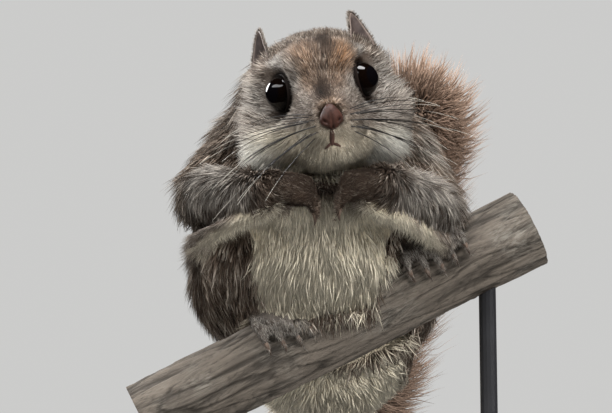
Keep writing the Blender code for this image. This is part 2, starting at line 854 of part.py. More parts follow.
def tail_disc(parts, place):
    """A thin disc across the tail."""
    line = along(TAIL_LINE, 201)
    index = int(place / (len(TAIL_LINE) - 1) * 200)
    ahead = (line[index + 1][0] - line[index - 1][0]).normalized()
    placed = Matrix.Translation(line[index][0]) @ ahead.to_track_quat("Z", "Y").to_matrix().to_4x4()
    bm = bmesh.new()
    bmesh.ops.create_cone(
        bm, cap_ends=True, segments=24, radius1=52.0, radius2=52.0, depth=GAP, matrix=placed
    )
    return object_of("tail_cut", bm, parts)


def part_tail(parts, tail):
    """Parts the tail with thin discs across it into lengths, named in order from the root."""
    for place in TAIL_CUTS:
        disc = tail_disc(parts, place)
        boolean(tail, disc, "DIFFERENCE")
        settle(tail)
        bpy.data.objects.remove(disc, do_unlink=True)
    pieces = parted(tail, len(TAIL_LENGTHS))
    bpy.data.objects.remove(tail, do_unlink=True)
    line = [spot for spot, _ in along(TAIL_LINE, 41)]

    def order(piece):
        middle = sum((v.co for v in piece.verts), Vector()) / len(piece.verts)
        return min(range(41), key=lambda k: (line[k] - middle).length)

    pieces.sort(key=order)
    return [object_of(name, piece, parts) for name, piece in zip(TAIL_LENGTHS, pieces)]


# Perch and stand


def build_perch(parts):
    """A cut length of branch: a round bar with long bark ridges, a stub and square-cut ends."""
    slope = math.radians(PERCH_SLOPE)
    along_perch = Vector((math.cos(slope), 0.0, math.sin(slope)))
    up = Vector((-math.sin(slope), 0.0, math.cos(slope)))
    back = Vector((0.0, 1.0, 0.0))
    rng = random.Random(11)
    phases = [rng.uniform(0, 6.28) for _ in range(4)]
    bm = bmesh.new()
    rings = []
    low, high = (reach / math.cos(slope) for reach in PERCH_REACH)
    for step in range(13):
        t = low + (high - low) * step / 12
        ring = []
        for k in range(15):
            turn = 2 * math.pi * k / 15
            rough = 0.4 * math.sin(5 * turn + phases[0] + t * 0.03) + 0.3 * math.sin(7 * turn + phases[1])
            rough += 0.4 * math.sin(t * 0.06 + phases[2]) + 0.25 * math.sin(t * 0.21 + 2 * turn + phases[3])
            ring.append(
                bm.verts.new(
                    Vector((0.0, 0.0, PERCH_LIFT))
                    + along_perch * t
                    + (PERCH_RADIUS - 0.8 + rough) * (up * math.cos(turn) + back * math.sin(turn))
                )
            )
        rings.append(ring)
    join_rings(bm, rings)
    return object_of("perch", bm, parts)


def build_base(parts):
    """An oval plinth with an eased upper edge, its underside on the floor."""
    bm = bmesh.new()
    floor = -ANIMAL_HEIGHT
    profile = ((1.0, 0.0), (1.0, BASE_THICKNESS - 3.0), (0.992, BASE_THICKNESS - 0.9), (0.975, BASE_THICKNESS))
    rings = []
    for share, height in profile:
        ring = []
        for k in range(32):
            turn = 2 * math.pi * k / 32
            x = BASE_HALF[0] * share * math.cos(turn)
            y = BASE_BEHIND + BASE_HALF[1] * share * math.sin(turn)
            ring.append(bm.verts.new((x, y, floor + height)))
        rings.append(ring)
    join_rings(bm, rings)
    return object_of("stand_base", bm, parts)


def build_rod(parts, word):
    """A round steel rod with a small flange, from the plinth up to the perch."""
    x = ROD_AT[word]
    foot = -ANIMAL_HEIGHT + BASE_THICKNESS + GAP
    head = perch_axis(x)
    profile = ((11.0, foot), (11.0, foot + 2.4), (ROD_RADIUS, foot + 4.2), (ROD_RADIUS, head))
    bm = bmesh.new()
    rings = []
    for radius, height in profile:
        turns = [2 * math.pi * k / 14 for k in range(14)]
        rings.append([bm.verts.new((x + radius * math.cos(t), radius * math.sin(t), height)) for t in turns])
    join_rings(bm, rings)
    return object_of("stand_rod_" + word, bm, parts)


def dress(parts, looks):
    """Gives each node its material, its place above the floor, metres, and smooth shading."""
    to_metres = ANIMAL_PLACE @ Matrix.Scale(MM, 4)
    for obj in parts.objects:
        obj.data.transform(to_metres)
        obj.data.materials.clear()
        word = next(key for key in looks if obj.name.startswith(key))
        obj.data.materials.append(looks[word])
        obj.data.shade_smooth()
        obj.data.set_sharp_from_angle(angle=math.radians(50))


def build_looks():
    brown = material("grizzled_fur", FUR_BROWN)
    dark = material("dark_fur", FUR_DARK)
    skin = material("nose_skin", SKIN_BROWN, 0.45)
    return {
        "head": brown,
        "neck": brown,
        "upper_arm": brown,
        "forearm": brown,
        "thigh": brown,
        "shank": brown,
        "patagium": brown,
        "ear": dark,
        "hand": dark,
        "foot": dark,
        "torso": material("pale_fur", FUR_PALE),
        "tail": material("tail_fur", FUR_TAIL),
        "nose": skin,
        "eye": material("eye_black", EYE_BLACK, 0.05),
        "perch": material("bark", BARK_GREY),
        "stand": material("stand_black", STAND_BLACK, 0.4),
    }


def cut_mouth(parts, head):
    cutters = mouth_cutter(parts, head)
    for cutter in cutters:
        boolean(head, cutter, "DIFFERENCE")
    settle(head)
    for cutter in cutters:
        bpy.data.objects.remove(cutter, do_unlink=True)


def main():
    clear_scene()
    parts = new_collection("flying_squirrel")
    cutters = new_collection("cutters")
    build_base(parts)
    done = [build_perch(parts)]
    for word in ROD_AT:
        carve(build_rod(parts, word), done, cutters)
    done.append(build_nose(parts))
    for word, side in SIDES.items():
        done.append(build_eye(parts, word, side))
    head = build_head(parts)
    cut_mouth(parts, head)
    room = head_room(cutters)
    boolean(head, room, "INTERSECT")
    carve(settle(head), done, cutters)
    for build in (build_ear, build_hand, build_forearm, build_foot, build_shank):
        for word, side in SIDES.items():
            carve(build(parts, word, side), done, cutters)
    for piece in build_trunk(parts, cutters, room):
        carve(piece, done, cutters)
    bpy.data.objects.remove(room, do_unlink=True)
    for word, side in SIDES.items():
        carve(build_patagium(parts, word, side), done, cutters)
    for length in part_tail(parts, build_tail(parts)):
        carve(length, done, cutters)
    dress(parts, build_looks())


main()
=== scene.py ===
"""The looks of a life-size giant flying squirrel on a cut branch: skin, coat, face, claws, perch and stand.

Lengths in the tables are millimetres in the animal's frame, whose origin is ANIMAL_AT: +X is the animal's
left, +Y is behind it and +Z is up. The head has a frame of its own, with its origin midway between the eyes.
"""

import math

import bmesh
import bpy
import numpy as np
from mathutils import Matrix, Vector
from mathutils.bvhtree import BVHTree
from mathutils.kdtree import KDTree


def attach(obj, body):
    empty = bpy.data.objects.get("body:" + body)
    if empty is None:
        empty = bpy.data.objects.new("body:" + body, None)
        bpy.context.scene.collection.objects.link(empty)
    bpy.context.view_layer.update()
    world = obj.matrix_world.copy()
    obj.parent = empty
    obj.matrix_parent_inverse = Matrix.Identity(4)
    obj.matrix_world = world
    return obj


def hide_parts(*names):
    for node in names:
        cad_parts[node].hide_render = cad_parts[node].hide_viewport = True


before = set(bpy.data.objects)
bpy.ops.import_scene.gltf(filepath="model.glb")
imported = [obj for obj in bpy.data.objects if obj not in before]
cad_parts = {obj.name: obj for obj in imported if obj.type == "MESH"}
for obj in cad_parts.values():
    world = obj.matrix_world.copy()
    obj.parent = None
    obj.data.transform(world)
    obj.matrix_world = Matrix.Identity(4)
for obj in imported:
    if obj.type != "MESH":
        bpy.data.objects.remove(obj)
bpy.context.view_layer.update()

bl_info = {
    "name": "Giant flying squirrel",
    "version": (1, 0, 0),
    "blender": (4, 5, 0),
    "location": "View3D > Sidebar > Squirrel",
    "description": "Builds the skin, coat, face, perch and stand round the packed solids",
    "category": "Object",
}

MM = 0.001
BODY = "root"
BAKE_MAP = "OFBake"
MOST_TRIANGLES = 190000

ANIMAL_AT = np.array((0.0, -36.0, 200.0))
HEAD_AT = (0.0, -62.0, 119.5)
HEAD_DOWN = 12.0
HEAD_ROLL = -10.0
HEAD_YAW = 3.0
HEAD_PLACE = (
    Matrix.Translation(Vector(HEAD_AT))
    @ Matrix.Rotation(math.radians(HEAD_DOWN), 4, "X")
    @ Matrix.Rotation(math.radians(HEAD_ROLL), 4, "Y")
    @ Matrix.Rotation(math.radians(HEAD_YAW), 4, "Z")
)
HEAD_TURN = np.array(HEAD_PLACE.to_3x3())
SIDES = {"left": 1, "right": -1}

PERCH_SLOPE = 27.0
PERCH_RADIUS = 19.0
PERCH_REACH = (-82.0, 98.0)
PERCH_LIFT = 17.0
BASE_HALF = (118.0, 108.0)
BASE_AT = 36.0
BASE_THICKNESS = 14.0
FLOOR = -200.0

EYE_RADIUS = 8.4
EYE_AT = (17.2, -5.0, -0.6)
EYE_LOOKS = (0.78, -0.62, 0.10)
LID_LOOKS = (0.87, -0.49, 0.04)
NOSE_TIP = (0.0, -36.0, -11.0)

TAIL_LINE = (
    (5.0, 94.0, 12.0),
    (9.0, 126.0, 0.0),
    (20.0, 158.0, 16.0),
    (32.0, 170.0, 62.0),
    (42.0, 158.0, 108.0),
    (47.0, 126.0, 136.0),
    (49.0, 90.0, 142.0),
    (49.0, 60.0, 130.0),
)
TAIL_BONE = (22.0, 13.0, 11.0, 11.0, 11.0, 10.5, 8.0, 3.0)


# Points and directions in numpy


def unit(vectors):
    return vectors / np.maximum(np.linalg.norm(vectors, axis=-1, keepdims=True), 1e-9)


def dot(a, b):
    return (a * b).sum(-1, keepdims=True)


def step(low, high, values):
    """0 up to low, 1 from high on, eased between them."""
    t = np.clip((values - low) / (high - low), 0.0, 1.0)
    return t * t * (3.0 - 2.0 * t)


def blend(a, b, share):
    return a + (b - a) * share


def blob(points, centre, radii, soft=0.35):
    """1 inside an ellipsoid and 0 outside it, eased over a share of its size."""
    reach = np.linalg.norm((points - np.array(centre)) / np.array(radii), axis=-1)
    return 1.0 - step(1.0 - soft, 1.0 + soft, reach)


def twin(points, centre, radii, soft=0.35):
    """A blob on both sides of the head."""
    folded = points * np.array((1.0, 1.0, 1.0))
    folded[:, 0] = np.abs(folded[:, 0])
    return blob(folded, centre, radii, soft)


def waves(points, length, seed):
    """A smooth uneven field from -1 to 1 with bumps about this long."""
    rng = np.random.default_rng(seed)
    total = np.zeros(len(points))
    for _ in range(9):
        way = rng.normal(size=3)
        way *= 2.0 * math.pi / length / np.linalg.norm(way) * rng.uniform(0.6, 1.5)
        total += np.sin(points @ way + rng.uniform(0.0, 2.0 * math.pi))
    return np.clip(total / 4.2, -1.0, 1.0)


def in_head(points):
    """Animal points in the head's own frame."""
    return (points - np.array(HEAD_PLACE.translation)) @ HEAD_TURN


def upright(points):
    """Points of the head's frame with its lean to one side taken out."""
    lean = math.radians(-HEAD_ROLL)
    turned = points.copy()
    turned[:, 0] = math.cos(lean) * points[:, 0] - math.sin(lean) * points[:, 2]
    turned[:, 2] = math.sin(lean) * points[:, 0] + math.cos(lean) * points[:, 2]
    return turned


def from_head(vectors):
    """Directions of the head's frame as directions of the animal's."""
    return vectors @ HEAD_TURN.T


def along(points, count):
    """count points on a smooth curve through the given points, with each one's place in the list."""
    points = np.array(points, float)
    ends = np.vstack((2 * points[0] - points[1], points, 2 * points[-1] - points[-2]))
    places = np.linspace(0.0, len(points) - 1.0, count)
    first = np.minimum(places.astype(int), len(points) - 2)
    t = (places - first)[:, None]
    a, b, c, d = (ends[first + k] for k in range(4))
    bent = 2 * b + (c - a) * t + (2 * a - 5 * b + 4 * c - d) * t**2 + (3 * b - a - 3 * c + d) * t**3
    return bent / 2, places


def between(values, places):
    return np.interp(places, range(len(values)), values)


# Meshes


def to_world(points):
    """Animal millimetres to metres above the floor."""
    return (np.asarray(points, float) + ANIMAL_AT) * MM


def own_mesh(name, points, faces, smooth=True):
    """An object from animal points and faces that are all triangles or all quads."""
    faces = np.asarray(faces, np.int32)
    sides = faces.shape[1]
    mesh = bpy.data.meshes.new(name)
    mesh.vertices.add(len(points))
    mesh.vertices.foreach_set("co", to_world(points).astype(np.float32).ravel())
    mesh.loops.add(faces.size)
    mesh.loops.foreach_set("vertex_index", faces.ravel())
    mesh.polygons.add(len(faces))
    mesh.polygons.foreach_set("loop_start", np.arange(0, faces.size, sides, dtype=np.int32))
    mesh.update(calc_edges=True)
    if smooth:
        mesh.shade_smooth()
    return linked(name, mesh)


def linked(name, mesh):
    made = bpy.data.objects.new(name, mesh)
    bpy.context.scene.collection.objects.link(made)
    return made


def from_bmesh(name, bm):
    """An object from a bmesh in animal millimetres."""
    bmesh.ops.recalc_face_normals(bm, faces=bm.faces)
    bm.transform(Matrix.Scale(MM, 4) @ Matrix.Translation(Vector(ANIMAL_AT)))
    mesh = bpy.data.meshes.new(name)
    bm.to_mesh(mesh)
    bm.free()
    mesh.shade_smooth()
    return linked(name, mesh)


def settle(obj):
    """Applies the object's modifiers."""
    bpy.context.view_layer.update()
    graph = bpy.context.evaluated_depsgraph_get()
    mesh = bpy.data.meshes.new_from_object(obj.evaluated_get(graph))
    obj.modifiers.clear()
    obj.data = mesh
    return obj


def points_of(mesh):
    """The mesh's points in animal millimetres."""
    found = np.empty(len(mesh.vertices) * 3, np.float32)
    mesh.vertices.foreach_get("co", found)
    return found.reshape(-1, 3).astype(float) / MM - ANIMAL_AT


def normals_of(mesh):
    found = np.empty(len(mesh.vertices) * 3, np.float32)
    mesh.vertex_normals.foreach_get("vector", found)
    return found.reshape(-1, 3).astype(float)


def triangles_of(mesh):
    """Corner points and loops of each triangle."""
    mesh.calc_loop_triangles()
    corners = np.empty(len(mesh.loop_triangles) * 3, np.int32)
    loops = np.empty(len(mesh.loop_triangles) * 3, np.int32)
    mesh.loop_triangles.foreach_get("vertices", corners)
    mesh.loop_triangles.foreach_get("loops", loops)
    return corners.reshape(-1, 3), loops.reshape(-1, 3)


def edges_of(mesh):
    found = np.empty(len(mesh.edges) * 2, np.int32)
    mesh.edges.foreach_get("vertices", found)
    return found.reshape(-1, 2)


def evened(values, edges, rounds):
    """Eases a field over a mesh: each point takes half of its neighbours' mean, again and again."""
    count = len(values)
    flat = values.reshape(count, -1).astype(float)
    a, b = edges.T
    joined = np.bincount(a, minlength=count) + np.bincount(b, minlength=count)
    joined = np.maximum(joined, 1)[:, None]
    for _ in range(rounds):
        total = np.stack(
            [
                np.bincount(a, column[b], count) + np.bincount(b, column[a], count)
                for column in flat.T
            ],
            axis=1,
        )
        flat = 0.5 * flat + 0.5 * total / joined
    return flat.reshape(values.shape)


def write_field(mesh, name, values):
    """Stores one number or one vector a point on the mesh."""
    values = np.asarray(values, np.float32)
    kind, key = ("FLOAT", "value") if values.ndim == 1 else ("FLOAT_VECTOR", "vector")
    layer = mesh.attributes.new(name, kind, "POINT")
    layer.data.foreach_set(key, values.ravel())


def read_field(mesh, name):
    layer = mesh.attributes[name]
    wide = layer.data_type == "FLOAT_VECTOR"
    found = np.empty(len(mesh.vertices) * (3 if wide else 1), np.float32)
    layer.data.foreach_get("vector" if wide else "value", found)
    return found.reshape(-1, 3).astype(float) if wide else found.astype(float)


def tube(points, radii, sides):
    """Points and quads of an open tube along a curve, closed at both ends by a point."""
    points = np.asarray(points, float)
    radii = np.broadcast_to(radii, len(points))
    tangents = unit(np.gradient(points, axis=0))
    side = unit(np.cross(tangents[0], (0.31, 0.2, 0.93)))
    spots, faces = [], []
    for centre, tangent, radius in zip(points, tangents, radii):
        side = unit(side - tangent * (side @ tangent))
        up = np.cross(tangent, side)
        turns = np.arange(sides) * 2 * math.pi / sides
        spots.append(centre + radius * (np.outer(np.cos(turns), side) + np.outer(np.sin(turns), up)))
    for ring in range(len(points) - 1):
        for k in range(sides):
            nxt = (k + 1) % sides
            low, high = ring * sides, (ring + 1) * sides
            faces.append((low + k, low + nxt, high + nxt, high + k))
    return np.vstack(spots), faces


# Shaders


class Wire:
    """A socket in a node tree. Arithmetic on it adds Math nodes."""

    def __init__(self, maker, socket):
        self.maker = maker
        self.socket = socket

    def _with(self, operation, first, second):
        inputs = {0: first, 1: second}
        return self.maker.node("ShaderNodeMath", {"operation": operation}, inputs)["Value"]

    def __add__(self, other):
        return self._with("ADD", self, other)

    def __radd__(self, other):
        return self._with("ADD", other, self)

    def __sub__(self, other):
        return self._with("SUBTRACT", self, other)

    def __rsub__(self, other):
        return self._with("SUBTRACT", other, self)

    def __mul__(self, other):
        return self._with("MULTIPLY", self, other)

    def __rmul__(self, other):
        return self._with("MULTIPLY", other, self)

    def __truediv__(self, other):
        return self._with("DIVIDE", self, other)

    def __pow__(self, other):
        return self._with("POWER", self, other)


class Outputs:
    """The outputs of a node, by name."""

    def __init__(self, maker, node):
        self.maker = maker
        self.node = node

    def __getitem__(self, name):
        return Wire(self.maker, self.node.outputs[name])


class Finish:
    """A material in the making."""

    def __init__(self, name):
        self.material = bpy.data.materials.new(name)
        self.material.use_nodes = True
        self.tree = self.material.node_tree
        self.shader = self.tree.nodes["Principled BSDF"]

    def node(self, kind, settings=None, inputs=None):
        """Adds a node: its settings first, then the values or links of its sockets."""
        made = self.tree.nodes.new(kind)
        for key, value in (settings or {}).items():
            if key == "stops":
                ramp = made.color_ramp.elements
                while len(ramp) < len(value):
                    ramp.new(1.0)
                for element, (place, colour) in zip(ramp, value):
                    element.position = place
                    element.color = colour
            else:
                setattr(made, key, value)
        for key, value in (inputs or {}).items():
            self.plug(made.inputs[key], value)
        return Outputs(self, made)

    def plug(self, socket, value):
        if isinstance(value, Wire):
            self.tree.links.new(value.socket, socket)
        else:
            socket.default_value = value

    def field(self, name, part="Fac"):
        return self.node("ShaderNodeAttribute", {"attribute_name": name})[part]

    def parts(self, vector):
        split = self.node("ShaderNodeSeparateXYZ", inputs={0: vector})
        return split["X"], split["Y"], split["Z"]

    def mix(self, first, second, share):
        """first where share is 0, second where it is 1."""
        settings = {"data_type": "RGBA", "clamp_factor": True}
        made = self.node("ShaderNodeMix", settings)
        for index, value in ((0, share), (6, first), (7, second)):
            self.plug(made.node.inputs[index], value)
        return Wire(self, made.node.outputs[2])

    def shade(self, colour, amount):
        """The colour made darker or lighter by a number."""
        made = self.node("ShaderNodeVectorMath", {"operation": "SCALE"})
        self.plug(made.node.inputs[0], colour)
        self.plug(made.node.inputs["Scale"], amount)
        return made["Vector"]

    def noise(self, vector, scale, detail=3.0, roughness=0.55):
        inputs = {"Vector": vector, "Scale": scale, "Detail": detail, "Roughness": roughness}
        return self.node("ShaderNodeTexNoise", inputs=inputs)["Fac"]

    def range(self, value, low, high, start=0.0, end=1.0):
        inputs = {"Value": value, "From Min": low, "From Max": high, "To Min": start, "To Max": end}
        settings = {"interpolation_type": "SMOOTHSTEP"}
        return self.node("ShaderNodeMapRange", settings, inputs)["Result"]

    def bump(self, height, strength, distance):
        inputs = {"Height": height, "Strength": strength, "Distance": distance}
        return self.node("ShaderNodeBump", inputs=inputs)["Normal"]

    def set(self, **values):
        for name, value in values.items():
            self.plug(self.shader.inputs[name.replace("_", " ")], value)
        return self.material


def rgba(colour):
    return (*colour[:3], 1.0)


# Settings


def colour_setting(name, description, default):
    return bpy.props.FloatVectorProperty(
        name=name, description=description, subtype="COLOR", size=3, min=0.0, max=1.0, default=default
    )


def length_setting(name, description, default):
    return bpy.props.FloatProperty(
        name=name, description=description, subtype="DISTANCE", unit="LENGTH", default=default
    )


class SquirrelCoatSettings(bpy.types.PropertyGroup):
    """Sizes and colours of the skin and coat."""

    grain: length_setting("Skin grain", "Size of the cells that the skin is made from", 0.0013)
    thickness: bpy.props.FloatProperty(
        name="Coat density", description="Tufts as a share of the full number", default=1.0, min=0.02
    )
    seed: bpy.props.IntProperty(name="Seed", description="Start of the tufts' random draws", default=5)
    brown: colour_setting("Grizzled brown", "Middle of the hairs on the back", (0.185, 0.138, 0.105))
    silver: colour_setting("Silver tips", "Pale tips of the grizzled hairs", (0.47, 0.41, 0.345))
    grey: colour_setting("Pale grey", "Hair beside the nose, over the eyes and on the arms", (0.31, 0.292, 0.265))
    cream: colour_setting("Cream", "Belly, throat and underside of the membrane", (0.68, 0.615, 0.485))
    white: colour_setting("White", "Cheek patches", (0.80, 0.775, 0.70))
    dark: colour_setting("Dark brown", "Hands, feet, band behind the cheeks", (0.052, 0.035, 0.025))
    rust: colour_setting("Rust", "Brow", (0.285, 0.138, 0.055))
    tail: colour_setting("Tail", "Long hair of the tail", (0.275, 0.19, 0.14))


class SquirrelFaceSettings(bpy.types.PropertyGroup):
    """Sizes and colours of the eyes, nose, ears, whiskers and claws."""

    iris: colour_setting("Iris", "Colour round the pupil", (0.0035, 0.0018, 0.0012))
    nose: colour_setting("Nose", "Moist skin of the nose", (0.058, 0.023, 0.016))
    lip: colour_setting("Lip", "Bare skin along the mouth", (0.078, 0.039, 0.03))
    ear: colour_setting("Ear", "Thin skin of the ears", (0.037, 0.026, 0.023))
    claw: colour_setting("Claw", "Horn of the claws", (0.060, 0.042, 0.032))
    whisker_radius: length_setting("Whisker radius", "Radius of a whisker at its root", 0.00026)


class SquirrelStandSettings(bpy.types.PropertyGroup):
    """Finish of the perch and the stand."""

    bark: colour_setting("Bark", "Outer bark of the perch", (0.165, 0.138, 0.112))
    wood: colour_setting("Wood", "Cut ends of the perch", (0.28, 0.215, 0.15))
    paint: colour_setting("Paint", "Satin paint of the rods and plinth", (0.022, 0.022, 0.024))


class SquirrelStageSettings(bpy.types.PropertyGroup):
    """Light and camera."""

    pale: colour_setting("Pale ground", "Floor and surroundings", (0.80, 0.80, 0.79))
    key: bpy.props.FloatProperty(name="Key light", description="Watts", unit="POWER", default=12.5)
    lens: bpy.props.FloatProperty(name="Lens", description="Focal length, mm", default=144.0)


# Markings


def head_marks(p):
    """Grey, cream, white, dark and rust on the head, by place in its frame."""
    wave = waves(p, 9.0, 3)
    low = upright(p)
    grey = 0.4 * twin(p, (9.5, -26.0, -6.0), (6.0, 12.0, 11.0), 0.6)
    grey = np.maximum(grey, twin(p, (19.0, -10.0, 13.0), (5.5, 14.0, 5.5), 0.5))
    grey = np.maximum(grey, 0.75 * twin(p, (24.0, -8.0, -15.0), (18.0, 26.0, 11.0), 0.8))
    streak = blob(p, (-13.0, -18.0, 6.5), (3.2, 14.0, 9.0), 0.6) + blob(p, (13.6, -18.0, 3.4), (3.2, 14.0, 9.0), 0.6)
    grey = np.maximum(grey, 0.95 * streak)
    grey = np.maximum(grey, 0.8 * twin(p, (33.0, 0.0, -2.0), (10.0, 18.0, 14.0), 0.6))
    cream = 0.65 * step(-15.0, -25.0, low[:, 2] + 1.5 * wave) * step(-2.0, -14.0, p[:, 1])
    cream = np.maximum(cream, 0.85 * step(-26.0, -34.0, low[:, 2] + 1.5 * wave))
    spread = low + wave[:, None] * 0.8
    white = 1.0 * blob(spread, (30.0, 0.0, -28.5), (11.5, 24.0, 11.0), 0.35)
    white = np.maximum(white, 1.0 * blob(spread, (-27.8, 0.0, -34.5), (10.8, 24.0, 9.3), 0.35))
    dark = 1.4 * blob(p, (3.8, -8.0, 18.5), (4.0, 20.0, 9.0), 0.5)
    streaks = step(-0.1, 0.6, waves(p * np.array((1.0, 0.35, 0.35)), 2.6, 12))
    dark = np.maximum(dark, 0.85 * blob(p, (0.0, -14.0, 12.0), (16.0, 20.0, 15.0), 0.6) * (0.45 + 0.55 * streaks))
    dark = np.maximum(dark, 2.3 * blob(p, (-1.9, -30.0, -2.4), (4.0, 10.0, 5.4), 0.6) * (0.6 + 0.4 * streaks))
    dark = np.maximum(dark, 0.35 * step(15.0, 24.0, p[:, 2] + 2.0 * wave))
    edge = step(37.0, 42.0, np.abs(low[:, 0]) + wave) * step(-14.0, -22.0, low[:, 2])
    dark = np.maximum(dark, 0.7 * np.maximum(edge, step(-39.0, -43.0, low[:, 2] + wave)) * (1.0 - white))
    for side in SIDES.values():
        reach, ahead = eye_reach(p, side)
        rim = step(11.0, 9.9, reach) * step(-9.0, -5.0, ahead)
        wing = blob(p, (15.4 * side, -8.0, 9.0), (1.9, 8.0, 3.6), 0.4)
        dark = np.maximum(dark, 2.0 * np.maximum(rim, wing))
    rust = 0.95 * blob(p, (11.0, -12.0, 11.0), (6.5, 16.0, 8.0), 0.7)
    rust = np.maximum(rust, 0.6 * blob(p, (-6.8, -12.0, 14.7), (6.0, 16.0, 8.0), 0.7))
    rust = np.maximum(rust, 0.45 * twin(p, (6.0, -22.0, 2.0), (3.6, 12.0, 7.0), 0.6))
    rust = np.maximum(rust, 0.3 * blob(p, (0.0, -33.0, -10.0), (6.5, 8.0, 5.0), 0.6))
    return grey, cream, white, dark, rust


def eye_reach(p, side):
    """Distance from the axis of the lids' opening and distance ahead of the eye's centre, in the head's frame."""
    way = unit(np.array((LID_LOOKS[0] * side, LID_LOOKS[1], LID_LOOKS[2])))
    out = p - np.array((EYE_AT[0] * side, EYE_AT[1], EYE_AT[2]))
    ahead = out @ way
    return np.linalg.norm(out - ahead[:, None] * way, axis=1), ahead


def marks_of(points, shown, normals, where):
    """Six markings a point: grey, cream, white, dark, rust and tail. The dark one also holds painted shade between the
    hands. shown is where the hair of a point is seen.
    """
    count = len(points)
    x, y, z = points.T
    faces = normals @ unit(np.array((0.0, -0.75, -0.66)))
    side = np.abs(x)
    wave = waves(points, 22.0, 4)
    marks = np.zeros((count, 6))
    head = where["head"]
    marks[head, :5] = np.stack(head_marks(in_head(shown[head])), axis=1)
    body = where["torso"]
    front = step(0.15, 0.55, faces + 0.15 * wave) * step(50.0, 40.0, side + 3.0 * wave) * step(112.0, 100.0, z)
    marks[body, 1] = front[body]
    neck = where["neck"]
    throat = step(30.0, 20.0, side + 3.0 * wave) * step(112.0, 100.0, z)
    marks[neck, 1] = throat[neck]
    marks[neck, 3] = 0.30 * (step(24.0, 34.0, side) * step(112.0, 96.0, z))[neck]
    arm = where["upper_arm"]
    marks[arm, 0] = (0.55 * step(0.1, 0.7, wave))[arm]
    fore = where["forearm"]
    outer = step(26.0, 42.0, side)
    marks[fore, 0] = (0.75 * outer)[fore]
    marks[fore, 3] = (0.8 * (1.0 - outer))[fore]
    # Painted shade: the hollow between the hands and the chest is marked dark where its shadow falls.
    hollow = blob(points, (2.5, -42.0, 77.0), (17.0, 18.0, 11.0), 0.6)
    marks[:, 3] = np.maximum(marks[:, 3], 0.65 * hollow * ~head)
    marks[where["hand"], 3] = 0.9
    fold = where["patagium"]
    marks[fold, 1] = (step(-0.1, 0.6, faces + 0.2 * wave) * step(60.0, 50.0, side + 3.0 * wave))[fold]
    marks[fold, 0] = 0.2
    leg = where["shank"]
    marks[leg, 3] = 0.6
    foot = where["foot"]
    toes = step(-8.0, -16.0, y)
    marks[foot, 3] = (1.0 - toes)[foot] * 0.9
    marks[foot, 0] = (0.85 * toes)[foot]
    marks[where["tail"], 5] = 1.0
    marks[:, 5] = np.maximum(marks[:, 5], 0.7 * rump_share(points))
    return marks


def rump_share(points):
    """1 where the tail leaves the body, 0 from 42 mm off."""
    return step(42.0, 16.0, np.linalg.norm(points - np.array((6.0, 96.0, 10.0)), axis=1))


# Lie of the coat

LABELS = ("head", "neck", "torso", "upper_arm", "forearm", "hand", "patagium", "thigh", "shank", "foot", "tail")
FLESH = tuple(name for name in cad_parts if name.rsplit("_", 1)[0] in LABELS[:-1])

COAT_DEPTH = {
    "head": 2.6,
    "neck": 5.0,
    "torso": 4.2,
    "upper_arm": 4.5,
    "forearm": 3.0,
    "hand": 0.7,
    "patagium": 1.2,
    "thigh": 4.2,
    "shank": 3.0,
    "foot": 0.7,
    "tail": 0.0,
}
HAIR_LENGTH = {
    "head": 6.5,
    "neck": 23.0,
    "torso": 14.0,
    "upper_arm": 16.0,
    "forearm": 10.0,
    "hand": 3.4,
    "patagium": 8.0,
    "thigh": 14.0,
    "shank": 9.0,
    "foot": 3.2,
    "tail": 36.0,
}
HAIR_LIFT = {
    "head": 17.0,
    "neck": 33.0,
    "torso": 15.0,
    "upper_arm": 19.0,
    "forearm": 18.0,
    "hand": 13.0,
    "patagium": 18.0,
    "thigh": 16.0,
    "shank": 16.0,
    "foot": 13.0,
    "tail": 60.0,
}


def perch_axis_way():
    slope = math.radians(PERCH_SLOPE)
    return np.array((math.cos(slope), 0.0, math.sin(slope)))


def lie_of(points, where):
    """The way that the hair lies at each point, not yet laid on the surface."""
    x, y, z = points.T
    side = np.sign(x)
    ones = np.ones(len(points))
    lie = np.zeros((len(points), 3))
    head = where["head"]
    away = in_head(points[head]) - np.array((0.0, -27.0, -13.0))
    lie[head] = from_head(unit(away) + np.array((0.0, 0.35, 0.0)))
    neck = where["neck"]
    throat = step(30.0, 16.0, np.abs(x)) * step(-10.0, -24.0, y) * step(104.0, 94.0, z)
    lie[neck] = np.stack((0.016 * x, blend(0.55, -0.25, throat), -0.8 * ones), axis=1)[neck]
    body = where["torso"]
    lower = step(100.0, 40.0, z)
    tuck = step(30.0, 0.0, z)
    ahead = blend(blend(blend(0.85, 0.25, lower), 1.0, tuck), -0.4, throat * step(60.0, 70.0, z))
    down = blend(blend(-0.55, -1.0, lower), -0.1, tuck)
    lie[body] = np.stack((0.006 * x, ahead, down), axis=1)[body]
    arm = where["upper_arm"]
    lie[arm] = np.stack((0.55 * side, -0.10 * ones, -0.85 * ones), axis=1)[arm]
    fore = where["forearm"]
    outer = step(22.0, 44.0, np.abs(x))
    lie[fore] = np.stack((side * blend(-0.6, 0.6, outer), blend(-0.8, -0.1, outer), -0.6 * ones), axis=1)[fore]
    hand = where["hand"]
    lie[hand] = np.stack((-0.5 * side, -0.8 * ones, -0.3 * ones), axis=1)[hand]
    fold = where["patagium"]
    lie[fold] = np.stack((0.05 * side, 0.10 * ones, -1.0 * ones), axis=1)[fold]
    thigh = where["thigh"]
    lie[thigh] = np.stack((0.15 * side, 0.10 * ones, -1.0 * ones), axis=1)[thigh]
    grip = where["foot"] | where["shank"]
    axis = perch_axis_way()
    out = points - np.array((0.0, 0.0, PERCH_LIFT))
    out = out - dot(out, axis) * axis
    lie[grip] = np.cross(axis, unit(out))[grip]
    tail = where["tail"]
    line, _ = along(TAIL_LINE, 120)
    ways = unit(np.gradient(line, axis=0))
    nearest = nearest_of(points[tail], line)
    lie[tail] = ways[nearest]
    return unit(lie)


